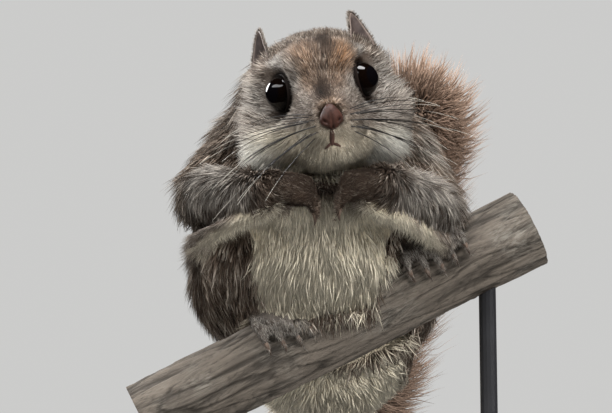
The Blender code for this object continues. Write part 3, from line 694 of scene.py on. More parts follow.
def nearest_of(points, targets):
    """The index of the target nearest to each point."""
    tree = KDTree(len(targets))
    for index, target in enumerate(targets):
        tree.insert(target, index)
    tree.balance()
    return np.array([tree.find(point)[1] for point in points], int)


def scattered(points, corners, spacing):
    """Points spread over a mesh's triangles, about spacing apart."""
    a, b, c = (points[corners[:, k]] for k in range(3))
    area = np.linalg.norm(np.cross(b - a, c - a), axis=1) / 2
    each = np.ceil(area / spacing**2).astype(int)
    face = np.repeat(np.arange(len(area)), each)
    rng = np.random.default_rng(1)
    u, v = rng.random((2, len(face)))
    over = u + v > 1
    u[over], v[over] = 1 - u[over], 1 - v[over]
    return a[face] + (b - a)[face] * u[:, None] + (c - a)[face] * v[:, None]


def label_points(points):
    """For each label, which of the points lie nearest to its solids."""
    samples, kinds = [], []
    for name in FLESH:
        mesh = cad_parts[name].data
        found = scattered(points_of(mesh), triangles_of(mesh)[0], 2.2)
        samples.append(found)
        kinds.append(np.full(len(found), LABELS.index(name.rsplit("_", 1)[0] if "_" in name else name)))
    line, places = along(TAIL_LINE, 200)
    ring = unit(np.random.default_rng(2).normal(size=(24, 3)))
    reach = between(TAIL_BONE, places)[:, None, None]
    tail = (line[:, None] + ring[None] * reach).reshape(-1, 3)
    samples.append(tail)
    kinds.append(np.full(len(tail), LABELS.index("tail")))
    kinds = np.concatenate(kinds)
    kind = kinds[nearest_of(points, np.vstack(samples))]
    return {name: kind == index for index, name in enumerate(LABELS)}


# Skin

# How far each stretch of skin is smoothed over its seams
LOOSE = {
    "head": 0.0,
    "neck": 1.0,
    "torso": 1.0,
    "upper_arm": 1.0,
    "forearm": 0.6,
    "hand": 0.0,
    "patagium": 0.2,
    "thigh": 1.0,
    "shank": 0.6,
    "foot": 0.0,
    "tail": 0.6,
}


def flesh_mesh(grain):
    """One closed surface over all the flesh solids and the bone of the tail."""
    bm = bmesh.new()
    for name in FLESH:
        bm.from_mesh(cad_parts[name].data)
    bmesh.ops.remove_doubles(bm, verts=bm.verts, dist=1e-6)
    line, places = along(TAIL_LINE, 90)
    spots, faces = tube(line, between(TAIL_BONE, places), 20)
    verts = [bm.verts.new(spot) for spot in to_world(spots)]
    for face in faces:
        bm.faces.new([verts[k] for k in face])
    bm.faces.new(verts[:20][::-1])
    bm.faces.new(verts[-20:])
    mesh = bpy.data.meshes.new("skin")
    bm.to_mesh(mesh)
    bm.free()
    skin = linked("skin", mesh)
    cells = skin.modifiers.new("Cells", "REMESH")
    cells.mode = "VOXEL"
    cells.voxel_size = grain
    ease = skin.modifiers.new("Ease", "SMOOTH")
    ease.factor = 0.5
    ease.iterations = 4
    return settle(skin)


def by_label(table, where):
    """A table's number for each point's label."""
    values = np.zeros(len(next(iter(where.values()))))
    for name, chosen in where.items():
        values[chosen] = table[name]
    return values


def shape_head(points, where, values, table):
    """Short hair at the nose, longer over the cheeks and crown."""
    head = where["head"]
    p = in_head(points[head])
    reach = np.linalg.norm(p - np.array(NOSE_TIP), axis=1)
    crown = step(6.0, 18.0, p[:, 2]) * step(30.0, 16.0, np.abs(p[:, 0]))
    values[head] = blend(table[0], table[1], step(6.0, 80.0, reach)) * (1.0 - 0.35 * crown)
    return values


def shape_brush(points, normals, lie, tail, length, lift):
    """The tail's hair stands out all round it, and is drawn together ahead of its tip."""
    line, places = along(TAIL_LINE, 120)
    tip = step(5.5, 6.7, places[nearest_of(points[tail], line)])
    spread = blend(1.73, 0.55, tip)[:, None]
    rise = dot(unit(lie[tail] + normals[tail] * spread), normals[tail])[:, 0]
    lift[tail] = np.degrees(np.arcsin(np.clip(rise, -1.0, 1.0)))
    length[tail] *= 1.0 - 0.25 * tip
    return length, lift


def sink_skin(skin):
    """Draws the skin in by the coat's depth and stores the coat's fields on it."""
    mesh = skin.data
    points, edges = points_of(mesh), edges_of(mesh)
    where = label_points(points)
    depth = shape_head(points, where, by_label(COAT_DEPTH, where), (0.6, 3.4))
    length = shape_head(points, where, by_label(HAIR_LENGTH, where), (2.8, 16.0))
    lift = shape_head(points, where, by_label(HAIR_LIFT, where), (17.0, 28.0))
    lie = lie_of(points, where)
    behind = in_head(points)
    full = (step(8.0, 48.0, behind[:, 1]) + step(6.0, -12.0, behind[:, 2]) + ~where["neck"]).clip(0.0, 1.0)
    length, lift = length * blend(0.65, 1.0, full), lift * blend(0.7, 1.0, full)
    length, lift = shape_brush(points, normals_of(mesh), lie, where["tail"], length, lift)
    rump = rump_share(points) * ~where["tail"]
    length, lift = blend(length, 26.0, rump), blend(lift, 36.0, rump)
    lie = blend(lie, np.array((0.08, 0.95, -0.3)), rump[:, None])
    fields = np.column_stack((depth, length, lift, lie))
    fields = evened(fields, edges, 70)
    depth, length, lift, lie = fields[:, 0], fields[:, 1], fields[:, 2], fields[:, 3:]
    eye_gap = np.min([np.linalg.norm(points - eye_centre(side), axis=1) for side in SIDES.values()], axis=0)
    away = step(9.0, 19.0, eye_gap)
    depth, length, lift = blend(0.8, depth, away), blend(1.7, length, away), blend(8.0, lift, away)
    brow = blob(in_head(points), (0.0, -19.0, 6.5), (17.0, 11.0, 8.0), 0.5) * where["head"] * away
    lift, length = lift + 24.0 * brow, length + 1.2 * brow
    shown = points + unit(lie - dot(lie, normals_of(mesh)) * normals_of(mesh)) * length[:, None] * 0.5
    marks = evened(marks_of(points, shown, normals_of(mesh), where), edges, 2)
    puff = evened(np.maximum(marks[:, 2], jaw_share(points) * where["head"]), edges, 24)
    depth, length, lift = blend(depth, 0.9, puff), length + 4.5 * puff, lift + 15.0 * puff
    lie = lie + np.array((0.0, 0.0, -0.35)) * puff[:, None]
    moved = points - normals_of(mesh) * depth[:, None]
    loose = by_label(LOOSE, where)
    head = where["head"]
    loose[head] = step(18.0, 44.0, np.linalg.norm(in_head(points[head]) - np.array(NOSE_TIP), axis=1)) * away[head]
    loose = evened(loose, edges, 12)
    moved = blend(evened(moved, edges, 2), evened(moved, edges, 36), loose[:, None])
    ledge = blob(moved, (2.5, -40.0, 79.0), (26.0, 22.0, 11.0), 0.5) * ~(where["hand"] | where["forearm"])
    moved = eased_patch(moved, edges, ledge, 220)
    for side in SIDES.values():
        moved = dish_eye(moved, side)
    mesh.vertices.foreach_set("co", to_world(moved).astype(np.float32).ravel())
    mesh.update()
    for name, values in (("length", length), ("lift", lift), ("lie", lie)):
        write_field(mesh, name, values)
    write_field(mesh, "pale_marks", marks[:, :3])
    write_field(mesh, "rich_marks", marks[:, 3:])
    kind = np.zeros(len(points))
    for index, name in enumerate(LABELS):
        kind[where[name]] = index
    write_field(mesh, "kind", kind)
    return skin


def eased_patch(points, edges, share, rounds):
    """Evens only the points that have a share, however many the rounds."""
    chosen = np.flatnonzero(share > 0.01)
    place = np.full(len(points), -1)
    place[chosen] = np.arange(len(chosen))
    inner = place[edges]
    inner = inner[(inner >= 0).all(1)]
    moved = points.copy()
    moved[chosen] = blend(points[chosen], evened(points[chosen], inner, rounds), share[chosen, None])
    return moved


def jaw_share(points):
    """How much the underside of the face takes the cheeks' long hair. The lips stay bare."""
    p = in_head(points)
    low = 0.55 * step(-21.0, -29.0, upright(p)[:, 2])
    return low * (1.0 - blob(p, (-1.4, -36.0, -25.0), (5.0, 9.0, 6.0), 0.4))


def dish_eye(points, side):
    """Keeps the skin round an eye behind the front half of its ball."""
    reach, ahead = eye_reach(in_head(points), side)
    way = from_head(unit(np.array((LID_LOOKS[0] * side, LID_LOOKS[1], LID_LOOKS[2]))))
    most = 1.2 + 0.42 * np.maximum(reach - 9.0, 0.0)
    over = np.maximum(ahead - most, 0.0) * step(20.0, 12.0, reach)
    return points - way * over[:, None]


def unwrapped(obj):
    """Gives the object the bake's map, laid out from its own shape."""
    bpy.ops.object.select_all(action="DESELECT")
    obj.select_set(True)
    bpy.context.view_layer.objects.active = obj
    obj.data.uv_layers.new(name=BAKE_MAP)
    bpy.ops.object.mode_set(mode="EDIT")
    bpy.ops.mesh.select_all(action="SELECT")
    bpy.ops.uv.smart_project(angle_limit=math.radians(66), island_margin=0.003)
    bpy.ops.object.mode_set(mode="OBJECT")
    return obj


def eye_centre(side):
    return np.array(HEAD_PLACE @ Vector((EYE_AT[0] * side, EYE_AT[1], EYE_AT[2])))


def fur_finish(name, settings, bump):
    """The coat's colours, from markings, place along the hair and each tuft's tone, with painted shade toward the
    roots.
    """
    f = Finish(name)
    root = f.field("root", "Vector")
    grey, cream, white = f.parts(f.field("pale_marks", "Vector"))
    dark, rust, tail = f.parts(f.field("rich_marks", "Vector"))
    height, tone = f.field("height"), f.field("tone")
    mottle = f.noise(root, 0.16, 4.0)
    fine = f.noise(root, 1.1, 2.0)
    grizzle = f.range(tone + (fine - 0.5) * 0.3, 0.5, 0.85) * f.range(height, 0.3, 0.75)
    colour = f.mix(rgba(settings.brown), rgba(settings.silver), grizzle)
    colour = f.mix(colour, rgba(settings.grey), grey * f.range(tone, 0.1, 0.5, 0.35, 1.0))
    colour = f.mix(colour, rgba(settings.rust), rust * f.range(tone, 0.2, 0.55, 0.2, 0.95))
    pepper = f.range(tone, 0.20, 0.42, 0.85, 0.0) * f.range(cream + white, 0.0, 1.0, 1.0, 0.2)
    colour = f.mix(colour, rgba([1.3 * c for c in settings.dark]), pepper)
    salt = f.range(tone, 0.6, 0.9, 0.0, 0.42) * f.range(height, 0.2, 0.8) * (1.0 - dark)
    colour = f.mix(colour, rgba([1.1 * c for c in settings.silver]), salt)
    colour = f.mix(colour, rgba(settings.cream), cream)
    colour = f.mix(colour, rgba(settings.white), white)
    colour = f.mix(colour, rgba(settings.dark), dark * f.range(tone, 0.45, 0.95, 1.0, 0.78))
    colour = f.mix(colour, rgba([0.22 * c for c in settings.dark]), f.range(dark, 1.1, 1.8))
    # Tail hair darker toward its roots: partly the hair's own darker base, partly painted shade deep in the brush.
    brush = f.mix(rgba([0.4 * c for c in settings.tail]), rgba(settings.tail), f.range(height, 0.1, 0.55))
    brush = f.mix(brush, rgba([1.3 * c for c in settings.tail]), f.range(height, 0.6, 1.0))
    colour = f.mix(colour, brush, tail)
    # Painted shade deep in the coat: the hair is multiplied darker toward its roots, less so where it is pale.
    pale = f.range(cream + white, 0.0, 1.0)
    shadow = f.node("ShaderNodeMix", {"data_type": "RGBA", "blend_type": "MULTIPLY"})
    f.plug(shadow.node.inputs[0], 1.0)
    f.plug(shadow.node.inputs[6], colour)
    f.plug(shadow.node.inputs[7], f.mix((0.48, 0.45, 0.44, 1.0), (0.80, 0.77, 0.73, 1.0), pale))
    low = Wire(f, shadow.node.outputs[2])
    colour = f.mix(low, colour, f.range(height, 0.05, 0.6))
    strands = f.noise(f.field("strand", "Vector"), 2.6, 1.0)
    light = f.range(tone, 0.0, 1.0, 0.68, 1.2) * f.range(mottle, 0.3, 0.7, 0.88, 1.10)
    colour = f.shade(colour, light * f.range(strands, 0.3, 0.7, 0.70, 1.25))
    values = {"Base_Color": colour, "Roughness": 0.7}
    if bump:
        values["Normal"] = f.bump(f.noise(root, 2.4, 3.0), 0.5, 0.0008)
    f.set(**values)
    f.shader.inputs["Specular IOR Level"].default_value = 0.14
    return f.material


def build_skin(settings):
    skin = sink_skin(flesh_mesh(settings.grain))
    thin = skin.modifiers.new("Thin", "DECIMATE")
    count = len(skin.data.polygons) * 2
    thin.ratio = min(1.0, 120000 / count)
    settle(skin)
    skin.data.shade_smooth()
    mesh = skin.data
    points = points_of(mesh)
    write_field(mesh, "root", points)
    # At this height the skin takes the coat's painted shade of the roots.
    write_field(mesh, "height", np.full(len(points), 0.12))
    write_field(mesh, "tone", np.full(len(points), 0.4))
    write_field(mesh, "strand", points)
    unwrapped(skin)
    mesh.materials.append(fur_finish("skin_under_coat", settings, bump=True))
    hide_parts(*FLESH, "tail_base", "tail_middle", "tail_tip")
    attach(skin, BODY)
    return skin


# Coat

FINE = ((1.0, 0.7),)
SHORT = ((0.5, 1.0), (0.5, 0.35))
LONG = ((0.30, 1.0), (0.36, 0.72), (0.34, 0.45))


class CoatPart:
    """One stretch of the coat: where it grows, how dense and wide, and its slot, which is not used."""

    def __init__(self, name, kinds, density, width, slot, shape=SHORT, clump=0.35, gather=14, only=None, reach=1.0):
        self.name = name
        self.kinds = kinds
        self.density = density
        self.width = width
        self.slot = slot
        self.shape = shape
        self.clump = clump
        self.gather = gather
        self.only = only
        self.reach = reach


COAT = (
    CoatPart("coat_head", ("head",), 5.2, 0.60, "fur_brown", FINE, 0.2, 6),
    CoatPart("coat_neck", ("neck",), 1.0, 1.0, "fur_brown", SHORT, 0.3, 12),
    CoatPart("coat_neck_fine", ("neck",), 2.4, 0.95, "fur_brown", FINE, 0.25, 20, None, 0.8),
    CoatPart("coat_back", ("torso",), 0.36, 1.15, "fur_brown", SHORT, 0.3, 8, "back"),
    CoatPart("coat_back_fine", ("torso",), 1.6, 1.1, "fur_brown", FINE, 0.3, 20, "back", 0.85),
    CoatPart("coat_belly", ("torso",), 0.35, 1.0, "fur_cream", SHORT, 0.2, 8, "belly"),
    CoatPart("coat_belly_fine", ("torso",), 2.3, 0.95, "fur_cream", FINE, 0.2, 18, "belly", 0.85),
    CoatPart("coat_arms", ("upper_arm", "forearm"), 0.55, 0.95, "fur_brown", SHORT, 0.3, 10),
    CoatPart("coat_arms_fine", ("upper_arm", "forearm"), 2.2, 0.9, "fur_brown", FINE, 0.3, 20, None, 0.85),
    CoatPart("coat_membrane", ("patagium",), 3.5, 0.8, "fur_brown", FINE, 0.2, 14),
    CoatPart("coat_legs", ("thigh", "shank"), 0.4, 1.1, "fur_brown", SHORT, 0.3, 10),
    CoatPart("coat_legs_fine", ("thigh", "shank"), 1.5, 1.05, "fur_brown", FINE, 0.3, 18, None, 0.85),
    CoatPart("coat_hands_and_feet", ("hand", "foot"), 4.4, 0.5, "fur_dark", FINE, 0.15, 7),
    CoatPart("coat_tail", ("tail",), 0.95, 0.78, "fur_tail", LONG, 0.4, 14),
)


def sample_roots(points, corners, density, rng):
    """Faces and places in them for roots, spread evenly by density, tufts a square millimetre."""
    a, b, c = (points[corners[:, k]] for k in range(3))
    area = np.linalg.norm(np.cross(b - a, c - a), axis=1) / 2
    total = np.cumsum(area * density)
    count = int(total[-1])
    marks = np.arange(count) + rng.random(count)
    face = np.minimum(np.searchsorted(total, marks), len(total) - 1)
    u, v = rng.random((2, count))
    over = u + v > 1
    u[over], v[over] = 1 - u[over], 1 - v[over]
    return face, np.stack((1 - u - v, u, v), axis=1)


def at_roots(values, corners, face, share):
    """A point field read at the roots."""
    picked = values[corners[face]]
    share = share.reshape(share.shape + (1,) * (picked.ndim - 2))
    return (picked * share).sum(1)


def clumped(roots, gather, rng):
    """For each root, the root at the heart of its clump."""
    hearts = rng.choice(len(roots), max(1, len(roots) // gather), replace=False)
    return hearts[nearest_of(roots, roots[hearts])]


def tuft_rings(roots, normals, lie, length, width, lift, part, rng):
    """The centre line of each tuft, its side and up ways, and its tone."""
    count = len(roots)
    normals = unit(normals)
    lie = unit(lie - dot(lie, normals) * normals + 1e-6)
    side = np.cross(lie, normals)
    wander = 0.22 * waves(roots, 16.0, 21) + rng.normal(0.0, 0.16, count)
    ahead = lie * np.cos(wander)[:, None] + side * np.sin(wander)[:, None]
    side = unit(np.cross(ahead, normals))
    rise = np.radians(lift) * (1.0 + 0.3 * waves(roots, 12.0, 22) + rng.normal(0.0, 0.2, count))
    length = length * rng.uniform(0.72, 1.2, count)
    heart = clumped(roots, part.gather, rng)
    offset = roots[heart] - roots
    offset -= dot(offset, normals) * normals
    sway = rng.normal(0.0, 0.12, count)
    spots, ups, shares = [roots - normals * 0.35], [normals], [0.0]
    gone = 0.0
    for stretch, raise_share in part.shape:
        angle = rise * raise_share
        way = ahead * np.cos(angle)[:, None] + normals * np.sin(angle)[:, None]
        way = unit(way + side * (sway * (1.0 - raise_share))[:, None])
        pull = ((gone + stretch) ** 1.4 - gone**1.4) * part.clump
        gone += stretch
        spots.append(spots[-1] + way * (length * stretch)[:, None] + offset * pull)
        ups.append(unit(np.cross(side, way)))
        shares.append(gone)
    tone = 0.55 * rng.random(count)[heart] + 0.45 * rng.random(count)
    return np.stack(spots, 1), np.stack(ups, 1), side, np.array(shares), tone


def tuft_mesh(name, spots, ups, side, shares, width):
    """Closed, three-sided, tapered tufts joined into one mesh. Each ends in a point."""
    count, rings = spots.shape[:2]
    rings -= 1
    taper = np.interp(shares[:rings], (0.0, 0.35, 1.0), (0.75, 1.0, 0.12))
    half = width[:, None, None] * taper[None, :, None] / 2
    flat = side[:, None] * half
    ridge = ups[:, :rings] * half * 0.55
    middle = spots[:, :rings]
    body = np.stack((middle - flat, middle + flat, middle + ridge), axis=2).reshape(count, rings * 3, 3)
    points = np.concatenate((body, spots[:, -1:]), axis=1).reshape(-1, 3)
    each = rings * 3 + 1
    faces = [(0, 1, 2)]
    for ring in range(rings):
        for a, b in ((1, 0), (0, 2), (2, 1)):
            low, high = ring * 3, ring * 3 + 3
            if ring == rings - 1:
                faces.append((low + a, low + b, high))
            else:
                faces.append((low + a, low + b, high + b))
                faces.append((low + a, high + b, high + a))
    faces = np.array(faces)
    everywhere = (faces[None] + (np.arange(count) * each)[:, None, None]).reshape(-1, 3)
    made = own_mesh(name, points, everywhere)
    return made, each, faces


def patch_map(mesh, uv, shares, faces, rings):
    """Lays each tuft on a patch of the bake's map at its root's place."""
    across = np.tile((-0.5, 0.5, 0.0), rings)
    across = np.append(across, 0.0) * 0.003
    up = np.append(np.repeat(shares[:rings], 3), 1.0) * 0.003 - 0.0015
    corner = np.stack((across, up), axis=1)[faces.ravel()]
    spread = (uv[:, None] + corner[None]).reshape(-1, 2).clip(0.0, 1.0)
    layer = mesh.uv_layers.new(name=BAKE_MAP)
    layer.uv.foreach_set("vector", spread.astype(np.float32).ravel())


def grow(part, skin, settings, material):
    """Makes one stretch of the coat, in as many pieces as the limit on triangles asks for."""
    rng = np.random.default_rng(settings.seed + len(part.name) * 7)
    mesh = skin.data
    points, normals = points_of(mesh), normals_of(mesh)
    corners, loops = triangles_of(mesh)
    kind = read_field(mesh, "kind")[corners].round().astype(int)
    cream = read_field(mesh, "pale_marks")[:, 1][corners].mean(1)
    wanted = np.isin(kind[:, 0], [LABELS.index(name) for name in part.kinds])
    if part.only == "belly":
        wanted &= cream >= 0.5
    if part.only == "back":
        wanted &= cream < 0.5
    density = wanted * part.density * settings.thickness
    if part.kinds[0] == "head":
        density *= np.clip(4.5 / read_field(mesh, "length")[corners].mean(1), 0.75, 2.0)
    face, share = sample_roots(points, corners, density, rng)
    roots = at_roots(points, corners, face, share)
    fields = {
        name: at_roots(read_field(mesh, name), corners, face, share)
        for name in ("length", "lift", "lie", "pale_marks", "rich_marks")
    }
    bare = bare_skin(roots)
    keep = rng.random(len(roots)) > bare
    face, share, roots = face[keep], share[keep], roots[keep]
    fields = {name: values[keep] for name, values in fields.items()}
    out = at_roots(normals, corners, face, share)
    uv = np.empty(len(mesh.loops) * 2, np.float32)
    mesh.uv_layers[BAKE_MAP].uv.foreach_get("vector", uv)
    uv = (uv.reshape(-1, 2)[loops[face]] * share[:, :, None]).sum(1)
    scale = np.clip(fields["length"] / 6.0, 0.72, 1.2) if part.kinds[0] == "head" else 1.0
    width = part.width * scale * rng.uniform(0.75, 1.25, len(roots)) / math.sqrt(min(settings.thickness, 1.0))
    spots, ups, side, shares, tone = tuft_rings(
        roots, out, fields["lie"], fields["length"] * part.reach, width, fields["lift"], part, rng
    )
    rings = spots.shape[1] - 1
    most = MOST_TRIANGLES // (rings * 6 - 2)
    pieces = math.ceil(len(roots) / most)
    for index, some in enumerate(np.array_split(np.arange(len(roots)), pieces)):
        name = part.name if pieces == 1 else f"{part.name}_{index + 1}"
        made, each, faces = tuft_mesh(name, spots[some], ups[some], side[some], shares, width[some])
        patch_map(made.data, uv[some], shares, faces, rings)
        write_field(made.data, "root", np.repeat(roots[some], each, axis=0))
        for mark in ("pale_marks", "rich_marks"):
            write_field(made.data, mark, np.repeat(fields[mark][some], each, axis=0))
        height = np.append(np.repeat(shares[:rings], 3), 1.0)
        write_field(made.data, "height", np.tile(height, len(some)))
        write_field(made.data, "tone", np.repeat(tone[some], each))
        write_field(made.data, "strand", strand_field(width[some], tone[some], shares, rings))
        made.data.materials.append(material)
        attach(made, BODY)


def strand_field(width, tone, shares, rings):
    """Where a point is across and along its tuft, with a start of its own for each tuft."""
    across = np.append(np.tile((-0.5, 0.5, 0.0), rings), 0.0)
    up = np.append(np.repeat(shares[:rings], 3), 1.0)
    count = len(width)
    field = np.zeros((count, len(across), 3))
    field[:, :, 0] = across * width[:, None] + (tone * 731.0)[:, None]
    field[:, :, 1] = up * 0.7
    field[:, :, 2] = (tone * 157.0)[:, None]
    return field.reshape(-1, 3)


def bare_skin(roots):
    """1 where no hair grows: on the nose, the lips and round the eyeballs."""
    p = in_head(roots)
    bare = blob(p, (-0.6, -38.2, -15.9), (4.2, 7.0, 4.7), 0.1)
    bare = np.maximum(bare, blob(p, (-1.4, -35.0, -24.0), (0.6, 9.0, 3.6), 0.2))
    for side in SIDES.values():
        reach, ahead = eye_reach(p, side)
        bare = np.maximum(bare, step(9.1, 8.8, reach) * step(-9.0, -8.0, ahead))
    return bare


# Face


def look_turn(side, looks=EYE_LOOKS):
    """Turns +Z to the way that the eye or the lids' opening on this side faces."""
    way = Vector((looks[0] * side, looks[1], looks[2]))
    return way.to_track_quat("Z", "Y").to_matrix().to_4x4()


def eye_finish(settings):
    f = Finish("eyeball_wet_black")
    gaze = f.field("gaze")
    streaks = f.noise(f.field("polar", "Vector"), 9.0, 3.0)
    iris = f.mix(rgba(settings.iris), rgba([0.3 * c for c in settings.iris]), streaks)
    pupil = f.range(gaze, 0.50, 0.56)
    colour = f.mix((0.0015, 0.0012, 0.0016, 1.0), iris, pupil)
    colour = f.mix(colour, (0.0015, 0.001, 0.001, 1.0), f.range(gaze, 0.86, 0.98))
    f.set(Base_Color=colour, Roughness=0.03)
    f.shader.inputs["Specular IOR Level"].default_value = 0.2
    return f.material


def build_eyes(settings):
    """Glossy balls with a slight bulge of cornea."""
    material = eye_finish(settings)
    for word, side in SIDES.items():
        bm = bmesh.new()
        bmesh.ops.create_uvsphere(bm, u_segments=56, v_segments=40, radius=1.0)
        turns = np.array([v.co for v in bm.verts])
        gaze = np.degrees(np.arccos(np.clip(turns[:, 2], -1.0, 1.0))) / 60.0
        for vert, angle in zip(bm.verts, gaze):
            bulge = 1.0 + 0.05 * max(0.0, 1.0 - (angle / 0.75) ** 2)
            vert.co = vert.co * EYE_RADIUS * bulge
        centre = Matrix.Translation(Vector((EYE_AT[0] * side, EYE_AT[1], EYE_AT[2])))
        bm.transform(HEAD_PLACE @ centre @ look_turn(side))
        ball = from_bmesh("eyeball_" + word, bm)
        write_field(ball.data, "gaze", gaze)
        polar = np.stack((np.arctan2(turns[:, 1], turns[:, 0]), 0.3 * gaze, 0.0 * gaze), axis=1)
        write_field(ball.data, "polar", polar)
        ball.data.materials.append(material)
        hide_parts("eye_" + word)
        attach(ball, BODY)


LID_FRONT = 74.0


def build_lids(settings):
    """A dark, moist rim of skin round each ball, drawn out to a point above and in front."""
    f = Finish("eyelid_dark_skin")
    spot = f.node("ShaderNodeTexCoord")["Object"]
    rough = f.noise(spot, 900.0, 3.0)
    f.set(
        Base_Color=f.mix((0.006, 0.004, 0.0035, 1.0), (0.014, 0.009, 0.007, 1.0), rough),
        Roughness=0.6,
        Normal=f.bump(rough, 0.35, 0.0003),
    )
    f.shader.inputs["Specular IOR Level"].default_value = 0.08
    for word, side in SIDES.items():
        place = HEAD_PLACE @ Matrix.Translation(Vector((EYE_AT[0] * side, EYE_AT[1], EYE_AT[2]))) @ look_turn(side, LID_LOOKS)
        bm = bmesh.new()
        turns, rows = 72, 7
        grid = []
        for row in range(rows):
            t = row / (rows - 1)
            ring = []
            for k in range(turns):
                angle = 2 * math.pi * k / turns
                inner = max(0.0, -side * math.cos(angle))
                front = LID_FRONT + 6.0 * max(0.0, math.sin(angle)) ** 4 - 7.0 * inner**2
                polar = math.radians(blend(front, 100.0, t))
                out = EYE_RADIUS + 0.15 + 0.9 * t**1.2 + 0.16 * math.sin(math.pi * min(1.0, 4.0 * t))
                ring.append(
                    bm.verts.new(
                        (
                            out * math.sin(polar) * math.cos(angle),
                            out * math.sin(polar) * math.sin(angle),
                            out * math.cos(polar),
                        )
                    )
                )
            grid.append(ring)
        for low, high in zip(grid, grid[1:]):
            for k in range(turns):
                nxt = (k + 1) % turns
                bm.faces.new((low[k], low[nxt], high[nxt], high[k]))
        bm.transform(place)
        lid = from_bmesh("eyelid_" + word, bm)
        shell = lid.modifiers.new("Thick", "SOLIDIFY")
        shell.thickness = 0.0004
        settle(lid)
        lid.data.materials.append(f.material)
        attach(lid, BODY)


def face_tree(skin):
    """The skin, ready for rays, in animal millimetres."""
    points = points_of(skin.data)
    corners, _ = triangles_of(skin.data)
    return BVHTree.FromPolygons(points.tolist(), corners.tolist())


def face_point(tree, x, z):
    """The point of the face straight ahead at (x, z) of the head's frame, and the way out of it."""
    start = HEAD_PLACE @ Vector((x, -90.0, z))
    way = HEAD_PLACE.to_3x3() @ Vector((0.0, 1.0, 0.0))
    spot, normal, _, _ = tree.ray_cast(start, way)
    if spot is None:
        raise RuntimeError(f"no face at {x}, {z}")
    return np.array(spot), np.array(normal)


def build_nose(settings, skin):
    """Wedge of moist skin with two comma nostrils."""
    f = Finish("nose_moist_skin")
    spot = f.node("ShaderNodeTexCoord")["Object"]
    cobble = f.node("ShaderNodeTexVoronoi", {"feature": "F1"}, {"Vector": spot, "Scale": 2600.0})["Distance"]
    mottle = f.noise(spot, 420.0, 3.0)
    dark = rgba([0.45 * c for c in settings.nose])
    colour = f.mix(dark, rgba(settings.nose), f.range(mottle, 0.3, 0.65))
    f.set(Base_Color=colour, Roughness=0.5, Normal=f.bump(cobble, 0.5, 0.00025))
    f.shader.inputs["Specular IOR Level"].default_value = 0.35
    bm = bmesh.new()
    bmesh.ops.create_icosphere(bm, subdivisions=5, radius=1.0)
    for vert in bm.verts:
        x, y, z = vert.co
        if y > 0.0:
            wide = math.hypot(x, z)
            x, z = (x / wide, z / wide) if wide > 0.05 else (x, z)
        narrow = 1.0 - 0.34 * float(step(-0.5, 1.0, z)) - 0.25 * float(step(-0.4, -1.0, z))
        groove = 0.75 * math.exp(-((x / 0.13) ** 2)) * max(0.0, 0.55 - z) * (y < 0)
        pit = 0.0
        for side in SIDES.values():
            u, w = x - 0.56 * side, z + 0.34
            bent = (u * 0.8 * side + w * 0.6) ** 2 / 0.05 + (w * 0.8 - u * 0.6 * side) ** 2 / 0.012
            pit += 1.3 * math.exp(-bent) * (y < 0)
        vert.co = (
            x * 5.4 * narrow,
            math.copysign(abs(y) ** 0.8, y) * 4.0 + groove + pit,
            z * 5.7,
        )
    bm.transform(HEAD_PLACE @ Matrix.Translation(Vector((-0.6, -37.9, -15.6))))
    nose = from_bmesh("nose_leather", bm)
    nose.data.materials.append(f.material)
    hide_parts("nose")
    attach(nose, BODY)


def build_mouth(settings, skin):
    """The bare strip under the nose and the two small curved lips."""
    tree = face_tree(skin)
    f = Finish("lip_skin")
    spot = f.node("ShaderNodeTexCoord")["Object"]
    wrinkles = f.noise(spot, 1500.0, 3.0)
    dark = rgba([0.35 * c for c in settings.lip])
    f.set(
        Base_Color=f.mix(dark, rgba(settings.lip), f.range(wrinkles, 0.25, 0.6)),
        Roughness=0.5,
        Normal=f.bump(wrinkles, 0.4, 0.0003),
    )
    lines = [[(-0.8 - 0.13 * (-20.0 - z), z) for z in np.linspace(-20.0, -28.0, 9)]]
    for side in SIDES.values():
        arc = []
        for t in np.linspace(0.0, 1.0, 12):
            arc.append((-1.8 + side * 3.6 * t, -27.0 - 2.0 * t**1.4))
        lines.append(arc)
    spots, faces = [], []
    for line in lines:
        path = np.array([face_point(tree, x, z)[0] for x, z in line])
        path += from_head(np.array((0.0, 0.1, 0.0)))
        radii = (1.25 if line is lines[0] else 0.7) * np.sin(np.linspace(0.12, math.pi - 0.12, len(path))) ** 0.5
        some, quads = tube(path, radii, 10)
        faces += [[k + sum(map(len, spots)) for k in quad] for quad in quads]
        spots.append(some)
    mouth = own_mesh("lips", np.vstack(spots), faces)
    mouth.data.materials.append(f.material)
    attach(mouth, BODY)


EAR_ROOT = {"left": (23.5, 9.0, 11.0), "right": (-24.6, 9.0, 10.0)}
EAR_TIP = {"left": (21.8, 14.0, 32.0), "right": (-24.6, 13.0, 30.6)}
EAR_FACES = {"left": (0.72, -0.68, 0.12), "right": (-0.86, -0.48, 0.12)}
EAR_HALF = {"left": 8.2, "right": 7.4}
EAR_CUP = 4.6


def ear_grid(word, rows, columns):
    """Points of the ear's leaf of skin, its front ways, and each one's place up and across it."""
    root, tip, widest = np.array(EAR_ROOT[word]), np.array(EAR_TIP[word]), EAR_HALF[word]
    up = tip - root
    front = np.array(EAR_FACES[word])
    front = unit(front - unit(up) * (front @ unit(up)))
    across = np.cross(unit(up), front)
    spots = []
    for v in np.linspace(0.0, 1.0, rows):
        half = widest * (1 - v**2.3) ** 0.7 * (0.82 + 0.18 * math.sin(math.pi * min(1.0, v * 1.6)))
        half = max(half, 0.25)
        for u in np.linspace(-1.0, 1.0, columns):
            hollow = EAR_CUP * (1 - u * u) * (1 - 0.55 * v) * (half / widest) ** 0.5
            lean = 1.2 * v * v * EAR_CUP * 0.4
            spots.append(root + up * v + across * (half * u) - front * (hollow + lean))
    return np.array(spots), front


